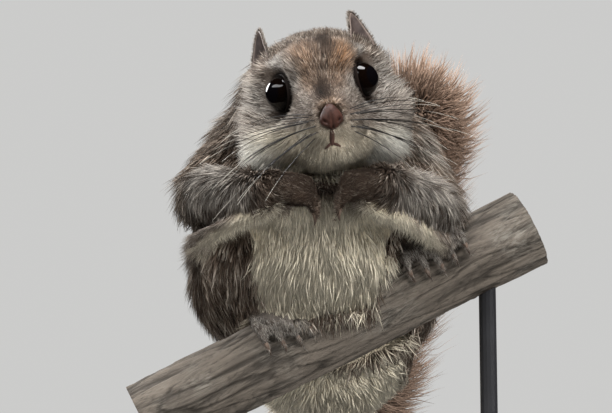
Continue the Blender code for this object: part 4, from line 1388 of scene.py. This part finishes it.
def build_ears(settings, coat, material):
    """Thin cupped skin, with short hair on its back and along its rim."""
    f = Finish("ear_thin_skin")
    spot = f.node("ShaderNodeTexCoord")["Object"]
    rim = f.field("rim")
    veins = f.noise(spot, 260.0, 4.0)
    colour = f.mix(rgba(settings.ear), rgba([1.9 * c for c in settings.ear]), f.range(veins, 0.35, 0.7))
    colour = f.mix(colour, (0.17, 0.13, 0.11, 1.0), f.range(rim, 0.55, 1.0))
    f.set(Base_Color=colour, Roughness=0.55, Normal=f.bump(veins, 0.3, 0.0006))
    rows, columns = 26, 21
    for word, side in SIDES.items():
        spots, front = ear_grid(word, rows, columns)
        world = spots @ HEAD_TURN.T + np.array(HEAD_PLACE.translation)
        faces = [
            (r * columns + k, r * columns + k + 1, (r + 1) * columns + k + 1, (r + 1) * columns + k)
            for r in range(rows - 1)
            for k in range(columns - 1)
        ]
        ear = own_mesh("ear_skin_" + word, world, faces)
        u = np.tile(np.abs(np.linspace(-1, 1, columns)), rows)
        v = np.repeat(np.linspace(0, 1, rows), columns)
        write_field(ear.data, "rim", np.maximum(u**3, v**4))
        shell = ear.modifiers.new("Thick", "SOLIDIFY")
        shell.thickness = 0.0011
        shell.offset = 0.0
        settle(ear)
        ear.data.shade_smooth()
        ear.data.materials.append(f.material)
        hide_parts("ear_" + word)
        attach(ear, BODY)
        ear_fuzz(word, side, world, from_head(front), material, coat)


def ear_fuzz(word, side, world, front, material, coat):
    """Short hair over both faces of the ear, longest along its edge."""
    rng = np.random.default_rng(coat.seed + 40 + side)
    columns, rows = 21, 26
    count = int(2400 * min(1.0, coat.thickness))
    r = rng.random(count) * (rows - 1.001)
    k = rng.random(count) * (columns - 1.001)
    edge = rng.random(count) < 0.3
    k[edge] = np.where(rng.random(edge.sum()) < 0.5, 0.001, columns - 1.01)
    grid = world.reshape(rows, columns, 3)
    ri, ki = r.astype(int), k.astype(int)
    fr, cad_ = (r - ri)[:, None], (k - ki)[:, None]
    low = blend(grid[ri, ki], grid[ri, ki + 1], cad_)
    high = blend(grid[ri + 1, ki], grid[ri + 1, ki + 1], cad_)
    roots = blend(low, high, fr)
    behind = np.where(rng.random(count) < 0.6, -1.0, 1.0)
    out = np.tile(front, (count, 1)) * behind[:, None]
    up = unit(grid[-1, columns // 2] - grid[0, columns // 2])
    middle = blend(grid[0, columns // 2], grid[-1, columns // 2], (r / (rows - 1))[:, None])
    lie = unit(up + unit(roots - middle) * np.where(edge, 1.3, 0.2)[:, None])
    roots = roots + out * 0.45
    length = np.where(edge, 2.2, 1.8)
    part = CoatPart("ear_fuzz_" + word, ("head",), 1.0, 0.36, "fur_dark", FINE, 0.1, 6)
    spots, ups, sides, shares, tone = tuft_rings(roots, out, lie, length, None, np.full(count, 16.0), part, rng)
    width = np.full(count, part.width)
    made, each, faces = tuft_mesh(part.name, spots, ups, sides, shares, width)
    rings = spots.shape[1] - 1
    uv = np.stack((0.02 + 0.96 * k / columns, 0.02 + 0.96 * r / rows), axis=1)
    patch_map(made.data, uv, shares, faces, rings)
    write_field(made.data, "root", np.repeat(roots, each, axis=0))
    pale = np.zeros((count, 3))
    pale[:, 0] = np.where(edge, 0.5, 0.1)
    rich = np.zeros((count, 3))
    rich[:, 0] = np.where(edge, 0.35, 0.7)
    write_field(made.data, "pale_marks", np.repeat(pale, each, axis=0))
    write_field(made.data, "rich_marks", np.repeat(rich, each, axis=0))
    write_field(made.data, "height", np.tile(np.append(np.repeat(shares[:rings], 3), 1.0), count))
    write_field(made.data, "tone", np.repeat(tone, each))
    write_field(made.data, "strand", strand_field(width, tone, shares, rings))
    made.data.materials.append(material)
    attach(made, BODY)


# Across and up on the muzzle, then the length, rise and sweep back of each whisker
WHISKERS = (
    (8.5, -13.5, 40.0, 0.22, 0.35),
    (10.0, -14.0, 44.0, 0.12, 0.45),
    (8.0, -16.0, 46.0, 0.08, 0.30),
    (10.5, -16.2, 50.0, 0.00, 0.42),
    (12.5, -16.4, 44.0, -0.02, 0.62),
    (7.8, -18.6, 48.0, -0.10, 0.25),
    (10.2, -18.8, 54.0, -0.16, 0.38),
    (12.4, -19.0, 46.0, -0.20, 0.55),
    (7.4, -21.2, 44.0, -0.34, 0.22),
    (9.8, -21.4, 50.0, -0.42, 0.32),
    (12.0, -21.4, 40.0, -0.50, 0.48),
    (8.6, -23.6, 30.0, -0.66, 0.25),
)


def whisker_finish():
    f = Finish("whisker_horn")
    height = f.field("height")
    colour = f.mix((0.010, 0.008, 0.007, 1.0), (0.62, 0.58, 0.50, 1.0), f.range(height, 0.6, 0.95))
    f.set(Base_Color=colour, Roughness=0.35)
    return f.material


def build_whiskers(settings, skin):
    tree = face_tree(skin)
    material = whisker_finish()
    rng = np.random.default_rng(17)
    for word, side in SIDES.items():
        spots, faces, height = [], [], []
        start = 0
        for across, up, length, rise, back in WHISKERS:
            root, _ = face_point(tree, across * side, up)
            droop = rng.uniform(0.10, 0.30)
            t = np.linspace(0.0, 1.0, 16)
            reach = length * rng.uniform(0.9, 1.1)
            x = side * reach * (t - 0.10 * t**2)
            y = -3.0 * np.sin(np.minimum(t * 6.0, 1.0) * math.pi / 2) + reach * back * t**1.4
            z = reach * (rise * t - droop * t**2.2)
            line = root + from_head(np.stack((x, y, z), axis=1))
            radii = settings.whisker_radius / MM * (1.0 - 0.82 * t)
            some, quads = tube(line, radii, 5)
            spots.append(some)
            faces += [[start + k for k in quad] for quad in quads]
            height.append(np.repeat(t, 5))
            start += len(some)
        made = own_mesh("whiskers_" + word, np.vstack(spots), faces)
        write_field(made.data, "height", np.concatenate(height))
        made.data.materials.append(material)
        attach(made, BODY)


# Claws

WRIST = (25.6, -69.0, 72.4)
KNUCKLES = (12.9, -77.0, 69.6)
HANDS_SHIFT = 2.5
HAND_LIFT = 1.0
FINGERS = 4
FINGER_LENGTH = 14.0
FOOT_AT = {"left": 57.0, "right": -13.0}
FOOT_SPLAY = {"left": -8.0, "right": 14.0}
TOES = 5
TOE_LINE = ((8.0, 4.0, 0.7), (38.0, 3.6, 0.95), (66.0, 3.8, 1.1), (92.0, 1.8, 1.15))


def sided(point, side):
    return np.array((point[0] * side + HANDS_SHIFT, point[1], point[2] + HAND_LIFT * side))


def hand_claws(side):
    """Root, way ahead and way down of each claw of a hand."""
    wrist, knuckles = sided(WRIST, side), sided(KNUCKLES, side)
    ahead = unit(knuckles - wrist)
    down = unit(np.array((0.0, 0.25, -1.0)))
    across = unit(np.cross(ahead, down)) * side
    found = []
    for index in range(FINGERS):
        spread = (index - 1.5) / 1.5
        root = knuckles + down * (spread * 5.0 + 0.5) - across * abs(spread)
        reach = FINGER_LENGTH * (1 - 0.16 * abs(spread - 0.2))
        bend = root + ahead * reach * 0.55 + across * 1.6
        tip = root + ahead * reach * 0.72 + down * reach * 0.42 + across * 0.4
        found.append((tip, unit(tip - bend), unit(down - ahead)))
    return found


def on_perch(x, turn, out):
    """A point out from the perch's axis, turn degrees round from the top to the front."""
    slope, way = math.radians(PERCH_SLOPE), math.radians(turn)
    up = np.array((-math.sin(slope), 0.0, math.cos(slope)))
    centre = np.array((x, 0.0, PERCH_LIFT + math.tan(slope) * x))
    return centre + (PERCH_RADIUS + out) * (up * math.cos(way) - np.array((0.0, 1.0, 0.0)) * math.sin(way))


def foot_claws(word):
    """Root, way ahead and way down of each claw of a foot."""
    x, splay = FOOT_AT[word], math.radians(FOOT_SPLAY[word])
    found = []
    for index in range(TOES):
        spread = (index - 2) * 5.6
        shorter = 9.0 * abs(index - 2) ** 1.5 / 2.8
        line = []
        for turn, out, share in TOE_LINE:
            bend = turn * (1.0 - shorter * 0.012)
            shift = spread * share + math.sin(splay) * turn * 0.12
            line.append(on_perch(x + shift, bend, out))
        way = unit(line[3] - line[2])
        inward = unit(on_perch(x + spread, 100.0, -8.0) - line[3])
        found.append((line[3], way, inward))
    return found


def build_claws(settings):
    """Curved, tapered horn, paler toward its root."""
    f = Finish("claw_horn")
    height = f.field("height")
    streak = f.noise(f.node("ShaderNodeTexCoord")["Object"], 700.0, 2.0)
    pale = rgba([min(1.0, 2.6 * c) for c in settings.claw])
    colour = f.mix(pale, rgba(settings.claw), f.range(height + (streak - 0.5) * 0.4, 0.1, 0.7))
    f.set(Base_Color=colour, Roughness=0.28)
    groups = {"hand_" + word: hand_claws(side) for word, side in SIDES.items()}
    groups.update({"foot_" + word: foot_claws(word) for word in SIDES})
    for name, claws in groups.items():
        spots, faces, height = [], [], []
        start = 0
        length = 4.8 if name.startswith("hand") else 5.2
        for root, ahead, down in claws:
            t = np.linspace(0.0, 1.0, 12)[:, None]
            line = root + ahead * length * (1.35 * t - 0.45 * t**2 - 0.25) + down * length * (0.10 * t + 0.5 * t**2)
            radii = 1.1 * (1.0 - t[:, 0] ** 1.3) ** 0.8 + 0.05
            some, quads = tube(line, radii, 10)
            spots.append(some)
            faces += [[start + k for k in quad] for quad in quads]
            height.append(np.repeat(t[:, 0], 10))
            start += len(some)
        made = own_mesh("claws_" + name, np.vstack(spots), faces)
        write_field(made.data, "height", np.concatenate(height))
        made.data.materials.append(f.material)
        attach(made, BODY)


# Perch and stand


def bark_spots(angle, t):
    """Places on the bark in millimetres, drawn together along the perch so that what is read there runs along it."""
    spots = np.stack((np.cos(angle) * 19.0, np.sin(angle) * 19.0, t * 0.17), axis=1)
    return spots + 1.5 * np.stack((waves(spots, 15.0, 34), waves(spots, 15.0, 35), waves(spots, 9.0, 37)), axis=1)


def bark_relief(spots):
    """Height of the bark: plates with furrows between them, and finer cracks."""
    furrow = np.exp(-((waves(spots, 8.5, 33) / 0.15) ** 2))
    crack = np.exp(-((waves(spots * np.array((1.0, 1.0, 3.0)), 5.5, 36) / 0.09) ** 2))
    return 0.45 * waves(spots, 12.0, 31) + 0.3 * waves(spots, 3.0, 32) - 0.9 * furrow - 0.4 * crack


def build_perch(settings):
    """A cut branch with furrowed bark and ringed ends."""
    slope = math.radians(PERCH_SLOPE)
    way = perch_axis_way()
    up = np.array((-math.sin(slope), 0.0, math.cos(slope)))
    back = np.array((0.0, 1.0, 0.0))
    heart = np.array((0.0, 0.0, PERCH_LIFT))
    low, high = (reach / math.cos(slope) for reach in PERCH_REACH)
    turns, rows = 220, 190
    angle = np.tile(np.arange(turns) * 2 * math.pi / turns, rows)
    t = np.repeat(np.linspace(low, high, rows), turns)
    spots = bark_spots(angle, t)
    height = bark_relief(spots)
    radius = PERCH_RADIUS - 0.8 + height + 0.4 * np.sin(t * 0.06 + 1.0)
    ways = np.cos(angle)[:, None] * up + np.sin(angle)[:, None] * back
    points = heart + way * t[:, None] + ways * radius[:, None]
    bark = own_mesh("perch_bark", points, ring_quads(turns, rows))
    write_field(bark.data, "relief", height)
    write_field(bark.data, "grain", spots)
    f = Finish("bark_furrowed")
    fibre = f.noise(f.field("grain", "Vector"), 1.3, 6.0, 0.7)
    patch = f.noise(spot_of(f), 30.0, 4.0)
    # Painted shade: the bark is darker down in its furrows and cracks, mixed with the fibres' own tone.
    dark = rgba([0.35 * c for c in settings.bark])
    colour = f.mix(dark, rgba(settings.bark), f.range(f.field("relief") + (fibre - 0.5) * 1.6, -0.9, 0.5))
    colour = f.mix(colour, (0.27, 0.25, 0.215, 1.0), f.range(patch, 0.5, 0.7) * f.range(fibre, 0.4, 0.65) * 0.7)
    f.set(Base_Color=colour, Roughness=0.9, Normal=f.bump(fibre, 0.9, 0.0014))
    bark.data.materials.append(f.material)
    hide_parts("perch")
    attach(bark, BODY)
    finish = cut_finish(settings)
    for word, row, place in (("low", 0, low), ("high", rows - 1, high)):
        edge = radius[row * turns : (row + 1) * turns]
        rings = 26
        share = np.repeat(np.linspace(0.0, 1.0, rings) ** 0.8, turns)
        rad = share * np.tile(edge, rings)
        spokes = np.tile(ways[:turns], (rings, 1))
        cap = own_mesh("perch_end_" + word, heart + way * place + spokes * rad[:, None], ring_quads(turns, rings))
        write_field(cap.data, "ring", share * PERCH_RADIUS)
        turn = np.tile(angle[:turns], rings)
        write_field(cap.data, "ray", np.stack((np.cos(turn) * 7.0, np.sin(turn) * 7.0, rad * 0.05), axis=1))
        cap.data.materials.append(finish)
        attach(cap, BODY)


def ring_quads(turns, rows):
    """Quads between rings of points, one ring after another."""
    k = np.arange(turns)
    nxt = (k + 1) % turns
    low = (np.arange(rows - 1) * turns)[:, None]
    return np.stack((low + k, low + nxt, low + turns + nxt, low + turns + k), axis=2).reshape(-1, 4)


def cut_finish(settings):
    """Sawn wood: yearly rings, fine checks from the heart out and a thin line of bark."""
    f = Finish("perch_cut_wood")
    spread = f.field("ring")
    wobble = f.noise(spot_of(f), 70.0, 3.0)
    grain = f.noise(spot_of(f), 900.0, 3.0)
    bands = f.node("ShaderNodeMath", {"operation": "SINE"}, {0: (spread + wobble * 4.0) * 2.5})["Value"]
    tone = f.mix(rgba([0.42 * c for c in settings.wood]), rgba(settings.wood), f.range(bands + (grain - 0.5), -1.0, 0.7))
    checks = f.range(f.noise(f.field("ray", "Vector"), 1.0, 2.0), 0.60, 0.68) * f.range(spread, 1.0, 9.0)
    tone = f.mix(tone, rgba([0.3 * c for c in settings.wood]), checks * 0.8)
    tone = f.mix(tone, rgba([0.55 * c for c in settings.wood]), f.range(spread, 1.0, 3.0, 1.0, 0.0))
    tone = f.mix(tone, rgba([0.4 * c for c in settings.bark]), f.range(spread, 16.2, 17.0))
    f.set(Base_Color=tone, Roughness=0.8, Normal=f.bump(bands, 0.3, 0.0003))
    return f.material


def spot_of(f):
    return f.node("ShaderNodeTexCoord")["Object"]


def build_stand(settings):
    """Moulded oval plinth, and satin paint on the rods."""
    f = Finish("satin_paint")
    spot = spot_of(f)
    orange = f.noise(spot, 700.0, 2.0)
    wear = f.noise(spot, 18.0, 4.0)
    f.set(
        Base_Color=f.mix(rgba(settings.paint), rgba([1.7 * c for c in settings.paint]), f.range(wear, 0.4, 0.7)),
        Roughness=f.range(wear, 0.3, 0.7, 0.34, 0.46),
        Normal=f.bump(orange, 0.12, 0.0003),
    )
    profile = ((0.0, 0.0), (1.0, 0.0), (1.0, 9.0), (0.998, 10.2), (0.990, 11.2), (0.982, 11.9), (0.972, 12.2))
    profile += ((0.968, 12.6), (0.966, 13.4), (0.962, 13.9), (0.955, 14.0), (0.0, 14.0))
    turns = 160
    angle = np.arange(turns) * 2 * math.pi / turns
    rings = [
        np.stack(
            (BASE_HALF[0] * s * np.cos(angle), BASE_AT + BASE_HALF[1] * s * np.sin(angle), np.full(turns, FLOOR + h)), 1
        )
        for s, h in profile
    ]
    k = np.arange(turns)
    faces = [
        np.stack((r * turns + k, r * turns + (k + 1) % turns, (r + 1) * turns + (k + 1) % turns, (r + 1) * turns + k), 1)
        for r in range(len(profile) - 1)
    ]
    plinth = own_mesh("plinth", np.vstack(rings), np.vstack(faces))
    plinth.data.set_sharp_from_angle(angle=math.radians(35))
    plinth.data.materials.append(f.material)
    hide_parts("stand_base")
    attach(plinth, BODY)
    for word in SIDES:
        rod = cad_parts["stand_rod_" + word]
        rod.data.materials.clear()
        rod.data.materials.append(f.material)


# Stage

PHOTO_WIDE = 612.0
CAMERA_AT = (-0.00675, -1.164, 0.0375)
CAMERA_AIM = (-0.00675, -0.0867, 0.2665)


def add_area(name, place, aim, size, watts, shines=False):
    """A soft light, wide and low. Only one that shines shows in the eyes."""
    data = bpy.data.lights.new(name, "AREA")
    data.shape = "ELLIPSE"
    data.size, data.size_y = size
    data.energy = watts
    light = bpy.data.objects.new(name, data)
    bpy.context.scene.collection.objects.link(light)
    light.location = place
    light.visible_glossy = shines
    light.rotation_euler = (Vector(aim) - Vector(place)).to_track_quat("-Z", "Y").to_euler()
    return light


def build_stage(settings):
    """Pale floor, pale surroundings, soft lights and the camera."""
    world = bpy.data.worlds.new("studio")
    bpy.context.scene.world = world
    world.use_nodes = True
    ground = world.node_tree.nodes["Background"]
    ground.inputs["Color"].default_value = rgba(settings.pale)
    ground.inputs["Strength"].default_value = 0.75
    world.cycles_visibility.glossy = False
    f = Finish("studio_floor")
    # Painted light: further out the floor glows instead of being lit, so that it fades into the pale surroundings.
    x, y, _ = f.parts(spot_of(f))
    far = f.range((x * x + y * y) ** 0.5, 0.3, 1.6)
    near = rgba([0.36 * c for c in settings.pale])
    f.set(Base_Color=f.mix(near, (0.0, 0.0, 0.0, 1.0), far), Roughness=0.9)
    f.set(Emission_Color=f.mix((0.0, 0.0, 0.0, 1.0), rgba([0.75 * c for c in settings.pale]), far))
    f.shader.inputs["Emission Strength"].default_value = 1.0
    f.shader.inputs["Specular IOR Level"].default_value = 0.1
    bm = bmesh.new()
    bmesh.ops.create_circle(bm, cap_ends=True, segments=128, radius=60000.0)
    bmesh.ops.translate(bm, verts=bm.verts, vec=(0.0, 0.0, FLOOR - 0.2))
    floor = from_bmesh("studio_floor", bm)
    floor.data.materials.append(f.material)
    floor.visible_glossy = False
    middle = (0.0, -0.05, 0.28)
    add_area("key_softbox", (-0.62, -0.72, 0.98), middle, (1.25, 0.36), settings.key, shines=True)
    add_area("fill_softbox", (0.95, -0.9, 0.45), middle, (0.8, 0.8), settings.key * 1.35)
    add_area("rim_softbox", (-0.75, 0.55, 0.80), middle, (0.5, 0.5), settings.key * 0.95, shines=True)
    add_area("top_softbox", (0.05, -0.42, 1.2), middle, (0.42, 0.42), settings.key * 0.9, shines=True)
    camera = bpy.data.objects.new("photo_camera", bpy.data.cameras.new("photo_camera"))
    bpy.context.scene.collection.objects.link(camera)
    camera.data.lens = settings.lens
    camera.data.sensor_width = 36.0
    camera.data.clip_start = 0.01
    camera.location = CAMERA_AT
    camera.rotation_euler = (Vector(CAMERA_AIM) - Vector(CAMERA_AT)).to_track_quat("-Z", "Y").to_euler()
    bpy.context.scene.camera = camera
    bpy.context.scene.view_settings.view_transform = "Standard"


# Operators


def skin_object():
    found = bpy.data.objects.get("skin")
    if found is None:
        raise RuntimeError("the skin comes first")
    return found


def coat_material():
    return bpy.data.materials.get("coat_hair")


class SQUIRREL_OT_skin(bpy.types.Operator):
    """Make the skin under the coat"""

    bl_idname = "squirrel.skin"
    bl_label = "Skin"

    def execute(self, context):
        build_skin(context.scene.squirrel_coat)
        return {"FINISHED"}


class SQUIRREL_OT_coat(bpy.types.Operator):
    """Grow the coat from the skin"""

    bl_idname = "squirrel.coat"
    bl_label = "Coat"

    def execute(self, context):
        settings = context.scene.squirrel_coat
        material = fur_finish("coat_hair", settings, bump=False)
        for part in COAT:
            grow(part, skin_object(), settings, material)
        return {"FINISHED"}


class SQUIRREL_OT_eyes(bpy.types.Operator):
    """Make the eyeballs and their dark lids"""

    bl_idname = "squirrel.eyes"
    bl_label = "Eyes"

    def execute(self, context):
        build_eyes(context.scene.squirrel_face)
        build_lids(context.scene.squirrel_face)
        return {"FINISHED"}


class SQUIRREL_OT_nose(bpy.types.Operator):
    """Make the nose and the lips"""

    bl_idname = "squirrel.nose"
    bl_label = "Nose and lips"

    def execute(self, context):
        build_nose(context.scene.squirrel_face, skin_object())
        build_mouth(context.scene.squirrel_face, skin_object())
        return {"FINISHED"}


class SQUIRREL_OT_ears(bpy.types.Operator):
    """Make the ears with their short hair"""

    bl_idname = "squirrel.ears"
    bl_label = "Ears"

    def execute(self, context):
        build_ears(context.scene.squirrel_face, context.scene.squirrel_coat, coat_material())
        return {"FINISHED"}


class SQUIRREL_OT_whiskers(bpy.types.Operator):
    """Set the whiskers in the muzzle"""

    bl_idname = "squirrel.whiskers"
    bl_label = "Whiskers"

    def execute(self, context):
        build_whiskers(context.scene.squirrel_face, skin_object())
        return {"FINISHED"}


class SQUIRREL_OT_claws(bpy.types.Operator):
    """Make the claws of the hands and feet"""

    bl_idname = "squirrel.claws"
    bl_label = "Claws"

    def execute(self, context):
        build_claws(context.scene.squirrel_face)
        return {"FINISHED"}


class SQUIRREL_OT_perch(bpy.types.Operator):
    """Make the bark of the perch and its cut ends"""

    bl_idname = "squirrel.perch"
    bl_label = "Perch"

    def execute(self, context):
        build_perch(context.scene.squirrel_stand)
        return {"FINISHED"}


class SQUIRREL_OT_stand(bpy.types.Operator):
    """Make the plinth and paint the rods"""

    bl_idname = "squirrel.stand"
    bl_label = "Stand"

    def execute(self, context):
        build_stand(context.scene.squirrel_stand)
        return {"FINISHED"}


class SQUIRREL_OT_stage(bpy.types.Operator):
    """Set the floor, the lights and the camera"""

    bl_idname = "squirrel.stage"
    bl_label = "Stage"

    def execute(self, context):
        build_stage(context.scene.squirrel_stage)
        return {"FINISHED"}


OPERATORS = (
    SQUIRREL_OT_skin,
    SQUIRREL_OT_coat,
    SQUIRREL_OT_eyes,
    SQUIRREL_OT_nose,
    SQUIRREL_OT_ears,
    SQUIRREL_OT_whiskers,
    SQUIRREL_OT_claws,
    SQUIRREL_OT_perch,
    SQUIRREL_OT_stand,
    SQUIRREL_OT_stage,
)
SETTINGS = {
    "squirrel_coat": SquirrelCoatSettings,
    "squirrel_face": SquirrelFaceSettings,
    "squirrel_stand": SquirrelStandSettings,
    "squirrel_stage": SquirrelStageSettings,
}


class SQUIRREL_PT_panel(bpy.types.Panel):
    """Lists the pieces and their settings"""

    bl_label = "Giant flying squirrel"
    bl_space_type = "VIEW_3D"
    bl_region_type = "UI"
    bl_category = "Squirrel"

    def draw(self, context):
        for name, group in SETTINGS.items():
            box = self.layout.box()
            box.label(text=group.__doc__)
            for key in group.__annotations__:
                box.prop(getattr(context.scene, name), key)
        for operator in OPERATORS:
            self.layout.operator(operator.bl_idname)


def register():
    for group in (*SETTINGS.values(), *OPERATORS, SQUIRREL_PT_panel):
        bpy.utils.register_class(group)
    for name, group in SETTINGS.items():
        setattr(bpy.types.Scene, name, bpy.props.PointerProperty(type=group))


def unregister():
    for name in SETTINGS:
        delattr(bpy.types.Scene, name)
    for group in (SQUIRREL_PT_panel, *reversed(OPERATORS), *SETTINGS.values()):
        bpy.utils.unregister_class(group)


def main():
    register()
    for operator in OPERATORS:
        group, name = operator.bl_idname.split(".")
        getattr(getattr(bpy.ops, group), name)()


if __name__ == "__main__":
    main()
